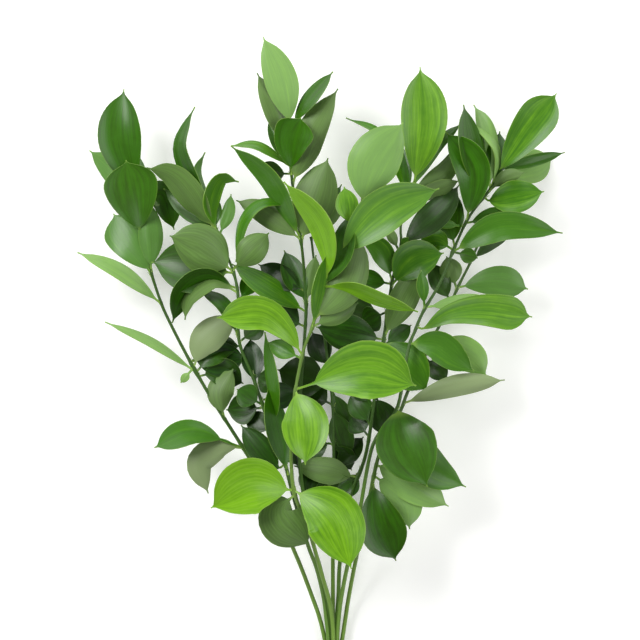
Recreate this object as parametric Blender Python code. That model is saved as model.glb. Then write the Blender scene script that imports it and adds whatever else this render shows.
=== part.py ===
"""Israeli ruscus: eight leafy stems in a tied bunch that lies on a table, seen from above.

Metres, +Z up. The bunch lies along +Y with its cut ends at -Y. The origin is under the middle of
its outline, on the table. Stems and leaves are laid out on a flat grid of 0.85 mm squares, columns
to the right and rows downwards, and each stem has its own height over the table.
"""
import math
from collections import namedtuple

import bmesh
import bpy
from mathutils import Vector
from mathutils.bvhtree import BVHTree

# Layout grid
GRID = 0.00085
MIDDLE_COLUMN = 333.5
NECK_ROW = 640
LEVEL_ROW = 470
TIE_TOP_ROW = 661
TIE_BOTTOM_ROW = 672
CUT_ROW = 738

# Stems
STEM_RADIUS = 0.00195
STEM_TIP_RADIUS = 0.0010
STEM_TAPER = 1.5
STEM_SIDES = 6
STEM_STEP = 0.03
CURVE_STEPS = 8
SLOT_RADIUS = 0.0052
SLOT_TURN = math.tau / 7
MIDDLE_LEAN = 0.0012
CUT_SPREAD = 1.2
CUT_SLANT = 0.9
CUT_STAGGER = 0.0035

# Tie
TIE_GAP = 0.0003
TIE_WALL = 0.0014
TIE_SIDES = 16
TIE_INNER = SLOT_RADIUS + STEM_RADIUS + TIE_GAP
TIE_HEIGHT = TIE_INNER + TIE_WALL
TIE_COLOUR = (0.30, 0.20, 0.09)
TIE_ROUGHNESS = 0.7

# Leaves: stalks are given in grid squares, and stations as shares of the blade's length
LEAF_THICKNESS = 0.0009
STALK_THICKNESS = 0.0016
STALK_HALF_WIDTH = 0.0009
STALK = 7
TIP_HALF_WIDTH = 0.0005
ROOT_BACK = 0.0015
BESIDE = 0.0060
NARROW = 0.0190
LEAF_STEP = 0.002
STATIONS = (0.03, 0.2, 0.48, 0.8, 1.0)
FACET_SPARE = 1.04
NORMAL_REACH = 0.02
LEAF_ROUGHNESS = 0.45

# Leaf outline: where it is widest, where the tip starts, and the roundness of both ends
WIDEST = 0.43
SPUR = 0.965
BASE_CURVE = 1.7
BASE_ROUND = 0.8
TIP_CURVE = 2.3
TIP_ROUND = 0.9
TIP_PINCH = 0.30
PINCH_START = 0.75

# Leaf attitude: arch along the blade, twist between root and tip, and tilt of narrow views
ARCH = 0.07
TWIST = 0.55
TWIST_TURN = 2.4
FOLD_START = 4.0
LEAF_RATIO = 0.40
LEAST_TILT = 0.2
MOST_TILT = 1.3

# Clearing of leaves from the other stems
CLEARANCE = 0.0006
FLOOR_GAP = 0.0020
LIFT_STEP = 0.003
LIFT_TRIES = 22
BENDS = (0.0, 0.007, -0.007, 0.014, -0.014)
TILT_SHARES = (1.0, 0.45, 0.0, -0.6)
BEND_COST = 1.5
TILT_COST = 2.0
DOWN_COST = 0.1
SET_DOWN_TURNS = 3

Stem = namedtuple("Stem", "name slot level end keys colour")
Leaf = namedtuple("Leaf", "stem base tip width tone lift tilt via foot widest stalk")
Tone = namedtuple("Tone", "lift fold flat")

# The tones that leaves are seen in, those in front first: how far the tip stands over the root, how far
# the two halves rise from the midrib, and whether a blade so deep in the bunch is left flat across
TONES = {
    "bright": Tone(0.014, 0.22, False),
    "fresh": Tone(0.010, 0.25, False),
    "mid": Tone(0.004, 0.25, False),
    "rich": Tone(0.004, 0.25, False),
    "under": Tone(0.0, -0.3, False),
    "silver": Tone(0.0, -0.3, False),
    "pale": Tone(-0.004, -0.15, False),
    "dull": Tone(-0.004, -0.15, False),
    "dark": Tone(-0.008, 0.25, True),
    "deep": Tone(-0.012, 0.2, True),
}

STEMS = (
    Stem("leafy_stem_far_left", 4, 0.050, 0.036, ((324, 640), (319, 620), (312, 600), (301, 570), (292, 548),
         (268, 490), (247, 455), (228, 425), (213, 402), (200, 380), (193, 368), (178, 340), (166, 316),
         (160, 302), (151, 275), (148, 262), (140, 236), (136, 205), (134, 190)), (0.13, 0.27, 0.06)),
    Stem("leafy_stem_left", 3, 0.068, 0.060, ((328, 640), (326, 620), (323.5, 600), (316.5, 570),
         (307.5, 545), (293, 495), (284, 460), (270, 425), (254, 380), (248, 365), (239, 340), (238, 295),
         (232, 268), (218, 235), (215, 228)), (0.12, 0.25, 0.06)),
    Stem("leafy_stem_centre_back", 5, 0.042, 0.062, ((330.5, 640), (329, 620), (327, 600), (320, 570),
         (312, 540), (300, 470), (300, 400), (305, 330), (306, 300), (304, 270), (301, 241), (297, 215),
         (292, 180), (291, 165), (291, 125)), (0.08, 0.18, 0.05)),
    Stem("leafy_stem_front", 2, 0.090, 0.092, ((333.5, 640), (332, 620), (328.5, 600), (320, 570), (309, 530),
         (294, 489), (291, 440), (293, 410), (296, 387), (303, 352), (308, 338), (313, 325), (318, 300),
         (324, 285), (331, 274), (338, 256), (350, 230), (361, 205)), (0.22, 0.42, 0.07)),
    Stem("leafy_stem_centre", 0, 0.026, 0.030, ((333, 640), (333, 600), (333, 550), (334, 480), (333, 410),
         (329, 370), (322, 320), (315, 270), (311, 236)), (0.10, 0.22, 0.05)),
    Stem("leafy_stem_centre_right", 6, 0.040, 0.050, ((336, 640), (337, 620), (338.5, 600), (340.5, 560),
         (350, 500), (366, 455), (376, 390), (384, 340), (387, 312), (391, 290), (393, 278), (401, 245),
         (401, 225), (408, 200), (415, 181)), (0.11, 0.24, 0.06)),
    Stem("leafy_stem_right", 1, 0.074, 0.040, ((337.5, 640), (339, 620), (341.5, 600), (347, 570), (358, 520),
         (371, 450), (385, 425), (398, 405), (408, 350), (415, 331), (423, 312), (440, 283), (455, 247),
         (468, 219), (482, 200), (490, 190), (496, 180), (500, 165)), (0.16, 0.32, 0.07)),
    Stem("leafy_stem_far_right", 7, 0.056, 0.034, ((343, 640), (346, 620), (349, 600), (356, 562), (368, 505),
         (379, 455), (392, 430), (404, 403), (407, 394), (425, 355), (436, 333), (447, 312), (459, 286),
         (473, 258), (486, 225), (493, 207)), (0.14, 0.29, 0.06)),
)


def leaf(stem, base, tip, width, tone, lift=0.0, tilt=0, via=(), foot=False, widest=WIDEST, stalk=STALK):
    """One row of the leaf list: its stem, place on the grid, seen width, tone and attitude."""
    return Leaf(stem, base, tip, width, tone, lift, tilt, via, foot, widest, stalk)


FAR_LEFT = (
    leaf(0, (240, 448), (208, 494), 26, "silver", via=[(220, 448), (199, 464)]),
    leaf(0, (241, 447), (154, 448), 25, "mid", tilt=1, via=[(192, 432)], stalk=24, widest=0.55),
    leaf(0, (223, 417), (233, 369), 26, "under", tilt=-1, via=[(220, 392)]),
    leaf(0, (197, 375), (243, 384), 30, "dark", via=[(220, 373)]),
    leaf(0, (193, 371), (104, 322), 9, "pale", tilt=1, via=[(150, 342)]),
    leaf(0, (193, 366), (180, 383), 8, "pale"),
    leaf(0, (195, 371), (240, 346), 26, "dark", tilt=-1, via=[(217, 349)]),
    leaf(0, (188, 360), (246, 358), 34, "deep", lift=-0.008),
    leaf(0, (193, 366), (236, 316), 31, "silver", lift=0.008, tilt=-1, via=[(205, 340)]),
    leaf(0, (160, 302), (76, 252), 15, "pale", tilt=1, via=[(119, 271)]),
    leaf(0, (150, 273), (112, 213), 42, "dull", lift=-0.010, widest=0.68),
    leaf(0, (150, 270), (148, 200), 24, "dull", via=[(150, 238)]),
    leaf(0, (190, 362), (214, 332), 26, "dull", lift=-0.010),
    leaf(0, (139, 233), (126, 160), 52, "rich", lift=0.022, widest=0.62),
    leaf(0, (136, 205), (86, 148), 25, "dull", via=[(112, 170)], foot=True),
    leaf(0, (134, 190), (123, 88), 42, "rich", lift=0.006, via=[(119, 138)], widest=0.5),
    leaf(0, (140, 205), (134, 150), 20, "dull", lift=-0.016),
    leaf(0, (138, 205), (173, 229), 27, "rich", lift=-0.006, via=[(161, 193)]),
)
LEFT = (
    leaf(1, (275, 465), (241, 425), 25, "dark", lift=-0.006),
    leaf(1, (287, 472), (268, 385), 22, "rich", lift=-0.002, tilt=1),
    leaf(1, (266, 405), (226, 410), 30, "deep"),
    leaf(1, (266, 402), (237, 389), 24, "dark", lift=0.004),
    leaf(1, (276, 410), (265, 332), 12, "mid", tilt=-1),
    leaf(1, (252, 372), (278, 384), 26, "dark"),
    leaf(1, (240, 335), (199, 290), 14, "dark", tilt=1, via=[(224, 305)]),
    leaf(1, (238, 291), (185, 320), 18, "under", tilt=1, via=[(214, 281), (190, 297)]),
    leaf(1, (236, 287), (172, 323), 24, "dark", tilt=-1, via=[(208, 279), (184, 293)]),
    leaf(1, (232, 272), (151, 262), 52, "dark", lift=-0.012, via=[(188, 266)]),
    leaf(1, (232, 270), (170, 236), 46, "under", lift=0.012, via=[(200, 247)]),
    leaf(1, (234, 268), (269, 233), 28, "under"),
    leaf(1, (212, 228), (147, 168), 27, "under", lift=0.010, tilt=-1, via=[(177, 179)]),
    leaf(1, (214, 232), (163, 188), 20, "dark", lift=-0.016),
    leaf(1, (216, 230), (211, 192), 16, "dark"),
    leaf(1, (217, 230), (239, 182), 16, "mid", via=[(211, 205), (221, 180)], tilt=1),
    leaf(1, (218, 235), (231, 194), 13, "dull", via=[(228, 214)]),
    leaf(1, (213, 225), (195, 107), 15, "rich", tilt=-1, via=[(193, 183), (180, 150), (186, 126)]),
    leaf(1, (216, 226), (205, 152), 10, "dull", tilt=1, via=[(203, 196), (197, 172)]),
    leaf(1, (214, 226), (176, 158), 12, "dark", lift=-0.014),
    leaf(1, (240, 300), (258, 270), 18, "dark"),
    leaf(1, (254, 385), (250, 338), 22, "deep"),
    leaf(1, (272, 432), (246, 414), 22, "deep"),
    leaf(1, (262, 398), (296, 392), 26, "deep"),
    leaf(1, (241, 340), (264, 322), 20, "deep"),
)
CENTRE_BACK = (
    leaf(2, (303, 310), (232, 264), 22, "mid", tilt=1),
    leaf(2, (301, 325), (255, 302), 40, "deep"),
    leaf(2, (305, 302), (284, 250), 24, "dark"),
    leaf(2, (299, 238), (236, 200), 23, "under", lift=-0.006, via=[(267, 214)]),
    leaf(2, (290, 205), (236, 262), 11, "mid", tilt=1, via=[(264, 203), (244, 222)]),
    leaf(2, (299, 237), (231, 146), 19, "mid", lift=0.012, tilt=-1, via=[(270, 181)]),
    leaf(2, (301, 240), (328, 158), 42, "under", lift=0.004),
    leaf(2, (291, 172), (252, 173), 24, "deep"),
    leaf(2, (288, 165), (231, 146), 9, "mid", tilt=1, via=[(258, 146)]),
    leaf(2, (294, 182), (338, 89), 30, "under", lift=0.006, via=[(312, 131)], widest=0.34),
    leaf(2, (292, 172), (301, 118), 38, "rich", lift=0.016, via=[(292, 142)], widest=0.68),
    leaf(2, (289, 150), (257, 73), 22, "under", tilt=1, via=[(274, 108)]),
    leaf(2, (294, 124), (333, 72), 15, "rich", tilt=-1, via=[(310, 99)]),
    leaf(2, (291, 125), (263, 37), 32, "pale", lift=0.004, via=[(281, 80)]),
    leaf(2, (289, 165), (268, 118), 16, "dark"),
    leaf(2, (305, 302), (316, 255), 16, "under"),
    leaf(2, (302, 290), (258, 264), 24, "deep"),
    leaf(2, (300, 470), (284, 436), 20, "deep"),
    leaf(2, (305, 500), (312, 462), 20, "deep"),
)
FRONT = (
    leaf(3, (292, 488), (212, 506), 54, "bright", lift=0.018, via=[(252, 484)]),
    leaf(3, (294, 487), (351, 566), 55, "bright", lift=0.020, via=[(332, 515)]),
    leaf(3, (292, 492), (309, 544), 50, "under", lift=-0.004, via=[(281, 512)], stalk=8, widest=0.4),
    leaf(3, (291, 387), (305.5, 463), 45, "bright", lift=0.016, via=[(305, 420)], stalk=4),
    leaf(3, (296, 387), (415, 385), 56, "fresh", lift=0.020, via=[(364, 369)], stalk=20, widest=0.52),
    leaf(3, (298, 352), (218, 318), 33, "bright", lift=0.012, via=[(286, 330), (261, 313)], widest=0.64),
    leaf(3, (324, 285), (417, 312), 14, "bright", lift=0.016, tilt=1, via=[(350, 288), (380, 300)]),
    leaf(3, (314, 318), (362, 237), 38, "under", lift=-0.004, via=[(344, 285)]),
    leaf(3, (326, 280), (284, 183), 22, "bright", lift=0.010, tilt=-1, via=[(328, 255), (317, 221)]),
    leaf(3, (314, 325), (326, 255), 14, "mid", tilt=1),
    leaf(3, (325, 288), (349, 214), 24, "rich", lift=-0.006, tilt=-1, via=[(341, 250)]),
    leaf(3, (313, 325), (358, 303), 20, "under", lift=-0.010),
    leaf(3, (340, 254), (438, 190), 42, "fresh", lift=0.010, via=[(386, 210)]),
    leaf(3, (352, 228), (344, 188), 22, "fresh", lift=0.006),
    leaf(3, (300, 356), (268, 342), 18, "mid", lift=-0.010),
    leaf(3, (361, 205), (402, 125), 49, "pale", lift=0.016, via=[(373, 164)]),
)
CENTRE = (
    leaf(4, (329, 385), (277, 370), 42, "deep", lift=0.002),
    leaf(4, (329, 368), (312, 332), 24, "deep"),
    leaf(4, (333, 405), (349, 461), 24, "dark"),
    leaf(4, (335, 388), (351, 430), 16, "dark"),
    leaf(4, (326, 445), (296, 458), 22, "dark"),
    leaf(4, (311, 236), (346, 190), 20, "under"),
    leaf(4, (311, 236), (342, 183), 14, "dark", lift=-0.010),
    leaf(4, (318, 300), (380, 318), 34, "deep"),
    leaf(4, (334, 470), (364, 438), 20, "deep"),
    leaf(4, (334, 512), (316, 478), 24, "dark"),
    leaf(4, (333, 404), (300, 388), 32, "deep"),
    leaf(4, (333, 440), (352, 472), 22, "deep"),
)
CENTRE_RIGHT = (
    leaf(5, (366, 470), (340, 500), 20, "dark"),
    leaf(5, (372, 425), (352, 392), 24, "dark"),
    leaf(5, (385, 340), (428, 391), 44, "mid", lift=0.004, stalk=3),
    leaf(5, (384, 338), (316, 327), 36, "dark", lift=0.006),
    leaf(5, (386, 335), (423, 262), 28, "under", lift=0.006),
    leaf(5, (391, 282), (350, 276), 20, "dark"),
    leaf(5, (394, 279), (361, 238), 22, "mid", via=[(381, 250)]),
    leaf(5, (392, 284), (444, 253), 38, "mid", lift=0.008, via=[(413, 261)]),
    leaf(5, (400, 250), (387, 226), 10, "under"),
    leaf(5, (401, 252), (412, 238), 14, "mid"),
    leaf(5, (404, 243), (460, 184), 28, "deep", tilt=-1, via=[(442, 208)]),
    leaf(5, (408, 199), (460, 180), 16, "under", tilt=1),
    leaf(5, (415, 181), (420, 67), 45, "fresh", lift=0.010, via=[(424, 122)], widest=0.54),
    leaf(5, (408, 192), (398, 140), 15, "dark"),
    leaf(5, (408, 196), (346, 117), 9, "mid", tilt=1, lift=-0.006, via=[(382, 136)]),
    leaf(5, (362, 478), (294, 467), 26, "under", tilt=1, via=[(330, 472)], widest=0.36),
    leaf(5, (376, 392), (390, 438), 28, "deep"),
    leaf(5, (374, 405), (356, 378), 24, "deep"),
    leaf(5, (359, 476), (328, 494), 26, "dark"),
    leaf(5, (371, 436), (352, 416), 24, "deep"),
    leaf(5, (388, 310), (362, 324), 26, "deep"),
    leaf(5, (385, 345), (412, 325), 18, "dark", lift=-0.010),
    leaf(5, (412, 186), (463, 122), 13, "dull", via=[(435, 148)]),
    leaf(5, (412, 190), (457, 146), 20, "under", lift=-0.010, via=[(445, 172)]),
)
RIGHT = (
    leaf(6, (396, 406), (427, 486), 58, "rich", lift=0.012, via=[(405, 442)], stalk=3, widest=0.38),
    leaf(6, (395, 425), (466, 487), 38, "mid", lift=-0.008, via=[(429, 467)]),
    leaf(6, (411, 342), (474, 371), 30, "mid", tilt=1, via=[(436, 345), (457, 360)], stalk=3),
    leaf(6, (427, 308), (421, 270), 12, "mid", tilt=1),
    leaf(6, (427, 306), (491, 297), 14, "pale", tilt=-1, lift=-0.006),
    leaf(6, (425, 328), (532, 317), 33, "fresh", lift=0.006, via=[(450, 314), (485, 310)], widest=0.78),
    leaf(6, (454, 248), (419, 246), 24, "mid", lift=-0.006, via=[(437, 241)]),
    leaf(6, (456, 251), (563, 233), 28, "mid", lift=0.004, via=[(502, 226)], widest=0.38),
    leaf(6, (468, 218), (446, 132), 34, "rich", lift=0.012, via=[(473, 170)], widest=0.5),
    leaf(6, (453, 244), (457, 190), 28, "rich", lift=-0.014, via=[(450, 218)]),
    leaf(6, (468, 222), (520, 212), 20, "dark"),
    leaf(6, (493, 200), (545, 191), 32, "mid", lift=0.002),
    leaf(6, (498, 179), (556, 155), 33, "pale", foot=True, via=[(531, 166)], widest=0.6),
    leaf(6, (500, 172), (557, 93), 38, "mid", lift=0.012, via=[(527, 132)], widest=0.66),
    leaf(6, (494, 183), (472, 121), 8, "pale", tilt=1, via=[(498, 150)]),
    leaf(6, (484, 196), (464, 104), 25, "rich", lift=0.004, tilt=1, via=[(470, 138)]),
    leaf(6, (490, 186), (475, 103), 21, "pale", lift=-0.014, via=[(487, 130)]),
    leaf(6, (492, 182), (501, 130), 22, "dark"),
    leaf(6, (500, 168), (567, 151), 12, "mid", lift=-0.014),
    leaf(6, (464, 224), (433, 222), 9, "mid"),
    leaf(6, (454, 250), (478, 258), 15, "rich"),
    leaf(6, (492, 190), (525, 172), 14, "under", lift=0.006, via=[(506, 177)]),
)
FAR_RIGHT = (
    leaf(7, (367, 478), (396, 561), 44, "rich", lift=0.004, via=[(380, 520)], widest=0.58),
    leaf(7, (375, 474), (410, 530), 35, "pale", lift=-0.010, via=[(404, 500)]),
    leaf(7, (383, 468), (449, 507), 34, "pale", lift=-0.008),
    leaf(7, (405, 402), (505, 380), 21, "silver", lift=0.002, via=[(455, 386)], widest=0.5),
    leaf(7, (440, 345), (487, 376), 34, "pale", lift=0.006, via=[(470, 357)]),
    leaf(7, (425, 355), (448, 380), 20, "dark"),
    leaf(7, (459, 288), (447, 256), 22, "under"),
    leaf(7, (450, 300), (431, 262), 21, "dark"),
    leaf(7, (460, 286), (529, 289), 31, "dull", lift=0.002, via=[(497, 281)], widest=0.6),
    leaf(7, (473, 259), (512, 236), 11, "dark", foot=True, via=[(492, 244)]),
)
LEAVES = FAR_LEFT + LEFT + CENTRE_BACK + FRONT + CENTRE + CENTRE_RIGHT + RIGHT + FAR_RIGHT


def place(column, row, height=0.0):
    """Turns a place on the layout grid to metres."""
    return Vector(((column - MIDDLE_COLUMN) * GRID, (NECK_ROW - row) * GRID, height))


def smooth_step(share):
    """Rises smoothly from 0 to 1 as its value does."""
    share = min(max(share, 0.0), 1.0)
    return share * share * (3.0 - 2.0 * share)


def slot_place(stem):
    """Where a stem lies in the tied bundle, across and up from the bundle's middle."""
    if stem.slot == 0:
        return 0.0, MIDDLE_LEAN
    angle = math.pi / 2 + (stem.slot - 2) * SLOT_TURN
    return SLOT_RADIUS * math.cos(angle), SLOT_RADIUS * math.sin(angle)


def stem_height(stem, row):
    """A stem's height over the table: up from the tie to its own level, then to its end's."""
    start = TIE_HEIGHT + slot_place(stem)[1]
    rise = smooth_step((NECK_ROW - row) / (NECK_ROW - LEVEL_ROW))
    run = max(0.0, (LEVEL_ROW - row) / (LEVEL_ROW - stem.keys[-1][1]))
    return start + (stem.level - start) * rise + (stem.end - stem.level) * run


def smooth_curve(points, steps):
    """Points along a smooth curve through the given ones."""
    ends = [points[0] * 2 - points[1]] + list(points) + [points[-1] * 2 - points[-2]]
    curve = []
    for before, start, end, after in zip(ends, ends[1:], ends[2:], ends[3:]):
        for step in range(steps):
            t = step / steps
            bend = (before * 2 - start * 5 + end * 4 - after) * t * t
            twist = (start * 3 - before - end * 3 + after) * t * t * t
            curve.append(start + ((end - before) * t + bend + twist) * 0.5)
    return curve + [points[-1]]


def spaced(curve, gap):
    """The same curve with points an even gap apart."""
    lengths = [0.0]
    for start, end in zip(curve, curve[1:]):
        lengths.append(lengths[-1] + (end - start).length)
    count = max(2, round(lengths[-1] / gap))
    points = []
    index = 0
    for number in range(count + 1):
        goal = lengths[-1] * number / count
        while index < len(curve) - 2 and lengths[index + 1] < goal:
            index += 1
        share = (goal - lengths[index]) / (lengths[index + 1] - lengths[index])
        points.append(curve[index].lerp(curve[index + 1], share))
    return points


def stem_route(stem):
    """A stem's middle line from its cut end to its top."""
    across, up = slot_place(stem)
    cut = place(MIDDLE_COLUMN, CUT_ROW, TIE_HEIGHT + up * CUT_SPREAD)
    cut += Vector((across * CUT_SPREAD, (stem.slot % 3 - 1) * CUT_STAGGER, 0.0))
    held = [place(MIDDLE_COLUMN, row, TIE_HEIGHT + up) + Vector((across, 0.0, 0.0))
            for row in (TIE_BOTTOM_ROW, TIE_TOP_ROW)]
    free = [place(column, row, stem_height(stem, row)) for column, row in stem.keys]
    return smooth_curve([cut] + held + free, CURVE_STEPS)


def stem_points(route):
    """The few points that a stem's faceted tube runs through: straight in the tie, then evenly spaced."""
    tied = [route[CURVE_STEPS * number] for number in range(2)]
    return tied + spaced(route[CURVE_STEPS * 2:], STEM_STEP)


def stem_radius(share):
    """Stems thin towards their tops."""
    return STEM_RADIUS + (STEM_TIP_RADIUS - STEM_RADIUS) * share ** STEM_TAPER


def tube(points):
    """A closed stem around a line, cut at a slant below."""
    mesh = bmesh.new()
    side = Vector((1.0, 0.0, 0.0))
    rings = []
    for number, point in enumerate(points):
        ahead = points[min(number + 1, len(points) - 1)] - points[max(number - 1, 0)]
        ahead.normalize()
        side = (side - ahead * side.dot(ahead)).normalized()
        up = side.cross(ahead)
        radius = stem_radius(number / (len(points) - 1))
        ring = []
        for corner in range(STEM_SIDES):
            angle = math.tau * corner / STEM_SIDES
            offset = (side * math.cos(angle) + up * math.sin(angle)) * radius
            if number == 0:
                offset += ahead * (offset.dot(up) * CUT_SLANT)
            ring.append(mesh.verts.new(point + offset))
        rings.append(ring)
    mesh.faces.new(rings[0])
    mesh.faces.new(list(reversed(rings[-1])))
    for lower, upper in zip(rings, rings[1:]):
        for corner in range(STEM_SIDES):
            following = (corner + 1) % STEM_SIDES
            mesh.faces.new((lower[corner], upper[corner], upper[following], lower[following]))
    bmesh.ops.recalc_face_normals(mesh, faces=mesh.faces)
    return mesh


def outline(share, widest):
    """A blade's half width along it, as a share of the widest: a tapered base, then round shoulders."""
    if share < widest:
        return (1.0 - ((widest - share) / widest) ** BASE_CURVE) ** BASE_ROUND
    run = min((share - widest) / (SPUR - widest), 1.0)
    pinch = TIP_PINCH * smooth_step((run - PINCH_START) / (1.0 - PINCH_START))
    return (1.0 - run ** TIP_CURVE) ** TIP_ROUND * (1.0 - pinch)


def nearest(route, goal):
    """The point of a route that lies nearest to a place seen from above, and the way it runs there."""
    best = None
    for start, end in zip(route, route[1:]):
        line = end.xy - start.xy
        share = min(max((goal.xy - start.xy).dot(line) / line.length_squared, 0.0), 1.0)
        point = start.lerp(end, share)
        gap = (point.xy - goal.xy).length
        if best is None or gap < best[0]:
            best = (gap, point, (end - start).normalized())
    return best[1:]


class LeafShape:
    """A leaf with its root on its stem and its attitude: tip lift, bend and cross tilt."""

    def __init__(self, row, route):
        self.row = row
        base = place(*row.base)
        near, ahead = nearest(route, base)
        self.root = near - ahead * ROOT_BACK
        tip = place(*row.tip)
        line = [self.root.xy.to_3d(), tip]
        line[1:1] = [place(*passed) for passed in row.via]
        if (base.xy - near.xy).length > BESIDE:
            line.insert(1, base)
        self.line = spaced(smooth_curve(line, CURVE_STEPS), LEAF_STEP)
        self.length = sum((end - start).length for start, end in zip(self.line, self.line[1:]))
        self.half = row.width * GRID / 2 * FACET_SPARE
        self.stalk = row.stalk * GRID / self.length
        self.twist = TWIST * math.sin(TWIST_TURN * LEAVES.index(row))
        self.lift = row.lift if row.lift else TONES[row.tone].lift
        self.bend = ARCH * self.length
        self.tilt = row.tilt * self.natural_tilt()
        self.fold = TONES[row.tone].fold

    def natural_tilt(self):
        """How steeply a blade of the usual breadth stands when it is seen this narrow."""
        breadth = LEAF_RATIO * self.length / (2 * self.half)
        return min(MOST_TILT, math.sqrt(max(breadth * breadth - 1.0, LEAST_TILT * LEAST_TILT)))

    def point(self, along, across):
        """A point of the blade's middle surface; along runs 0 to 1, across -1 to 1."""
        goal = along * (len(self.line) - 1)
        index = min(int(goal), len(self.line) - 2)
        middle = self.line[index].lerp(self.line[index + 1], goal - index)
        ahead = (self.line[index + 1] - self.line[index]).normalized()
        side = Vector((-ahead.y, ahead.x, 0.0))
        offset = across * self.half_width(along)
        rise = self.lift * along + self.bend * 4.0 * along * (1.0 - along)
        spread = smooth_step(along * FOLD_START)
        tilt = self.tilt + self.twist * (along - 0.5)
        height = self.root.z + rise + (tilt * offset + self.fold * offset * across) * spread
        return Vector((middle.x, middle.y, height)) + side * offset

    def half_width(self, along):
        """Half the seen width at a place along the leaf: a thin stalk, then the blade."""
        share = (along - self.stalk) / (1.0 - self.stalk)
        if share <= 0.0:
            return STALK_HALF_WIDTH
        narrow = STALK_HALF_WIDTH if share < self.row.widest else TIP_HALF_WIDTH
        return max(narrow, self.half * outline(min(share, 1.0), self.row.widest))

    def solid(self, grow=0.0):
        """Corners and triangles of the closed blade, alike on both faces, grown by a margin."""
        stations = [0.0] + [self.stalk + (1.0 - self.stalk) * share for share in STATIONS]
        flat = self.half < NARROW / 2 or TONES[self.row.tone].flat
        lanes = (-1.0, 1.0) if flat else (-1.0, 0.0, 1.0)
        upper = []
        lower = []
        for along in stations:
            for lane in lanes:
                middle = self.point(along, lane)
                normal = self.normal(along, lane)
                thick = STALK_THICKNESS if along <= self.stalk else LEAF_THICKNESS
                upper.append(middle + normal * (thick / 2 + grow))
                lower.append(middle - normal * (thick / 2 + grow))
        width = len(lanes)
        triangles = []
        under = len(upper)
        for row in range(len(stations) - 1):
            for lane in range(width - 1):
                a = row * width + lane
                b, c, d = a + 1, a + width, a + width + 1
                pair = ((a, b, d), (a, d, c)) if lane % 2 else ((a, b, c), (b, d, c))
                triangles += list(pair)
                triangles += [(u + under, w + under, v + under) for u, v, w in pair]
            for a, b in ((row * width, (row + 1) * width), ((row + 2) * width - 1, (row + 1) * width - 1)):
                triangles += [(a, b, b + under), (a, b + under, a + under)]
        for first, turn in ((0, -1), ((len(stations) - 1) * width, 1)):
            for lane in range(width - 1):
                a, b = (first + lane, first + lane + 1)[::turn]
                triangles += [(a, b, b + under), (a, b + under, a + under)]
        return upper + lower, triangles

    def normal(self, along, lane):
        """The blade's upward normal at a corner."""
        before = max(along - NORMAL_REACH, 0.0)
        after = min(along + NORMAL_REACH, 1.0)
        ahead = self.point(after, 0.0) - self.point(before, 0.0)
        sideways = self.point(along, 1.0) - self.point(along, -1.0)
        normal = ahead.cross(sideways).normalized()
        return normal if normal.z > 0.0 else -normal


def bounds(corners):
    """Lowest and highest corner of a box round some points."""
    low = [min(corner[axis] for corner in corners) for axis in range(3)]
    high = [max(corner[axis] for corner in corners) for axis in range(3)]
    return low, high


class Guard:
    """What the leaves of other stems have to stay clear of."""

    def __init__(self, stem, corners, triangles):
        self.stem = stem
        self.low, self.high = bounds(corners)
        self.tree = BVHTree.FromPolygons([tuple(corner) for corner in corners], triangles)

    def meets(self, other):
        """Whether two solids cross."""
        if any(self.low[axis] > other.high[axis] or self.high[axis] < other.low[axis] for axis in range(3)):
            return False
        return bool(self.tree.overlap(other.tree))


def stem_guard(number, route):
    """The space that a stem takes."""
    mesh = tube(stem_points(route))
    bmesh.ops.triangulate(mesh, faces=mesh.faces)
    corners = [vert.co.copy() for vert in mesh.verts]
    mesh.verts.index_update()
    triangles = [[vert.index for vert in face.verts] for face in mesh.faces]
    mesh.free()
    return Guard(number, corners, triangles)


def attitudes():
    """Changes to a leaf's attitude, the least first: lift, bend and share of tilt."""
    tries = []
    for lift in range(-LIFT_TRIES, LIFT_TRIES + 1):
        for bend_cost, bend in enumerate(BENDS):
            for tilt_cost, share in enumerate(TILT_SHARES):
                cost = abs(lift) + BEND_COST * bend_cost + TILT_COST * tilt_cost + DOWN_COST * (lift < 0)
                tries.append((cost, lift * LIFT_STEP, bend, share))
    return sorted(tries)


def set_down(shape):
    """Brings a leaf's tip down to the table."""
    for _turn in range(SET_DOWN_TURNS):
        low, _high = bounds(shape.solid()[0])
        shape.lift -= low[2]


def settle(routes):
    """Gives each leaf the attitude nearest its own that clears the other stems and their leaves."""
    shapes = [LeafShape(row, routes[row.stem]) for row in LEAVES]
    guards = [stem_guard(number, route) for number, route in enumerate(routes)]
    tries = attitudes()
    tones = list(TONES)
    order = sorted(shapes, key=lambda shape: (not shape.row.foot, tones.index(shape.row.tone)))
    for shape in order:
        if shape.row.foot:
            set_down(shape)
        lift, arch, tilt = shape.lift, shape.bend, shape.tilt
        for _cost, raised, bend, share in (tries if not shape.row.foot else tries[:1]):
            shape.lift, shape.bend, shape.tilt = lift + raised, arch + bend, tilt * share
            grown = Guard(shape.row.stem, *shape.solid(CLEARANCE))
            if grown.low[2] < FLOOR_GAP and not shape.row.foot:
                continue
            if not any(other.stem != grown.stem and grown.meets(other) for other in guards):
                break
        else:
            raise RuntimeError(f"no clear place for leaf {LEAVES.index(shape.row)}")
        guards.append(Guard(shape.row.stem, *shape.solid()))
    return shapes


def add_object(name, mesh, colour, roughness):
    """Puts a mesh in the scene as a named object with its own material."""
    data = bpy.data.meshes.new(name)
    mesh.to_mesh(data)
    mesh.free()
    piece = bpy.data.objects.new(name, data)
    bpy.context.scene.collection.objects.link(piece)
    material = bpy.data.materials.new(name)
    material.use_nodes = True
    shader = material.node_tree.nodes["Principled BSDF"]
    shader.inputs["Base Color"].default_value = (*colour, 1.0)
    shader.inputs["Roughness"].default_value = roughness
    shader.inputs["Metallic"].default_value = 0.0
    data.materials.append(material)
    return piece


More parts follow.
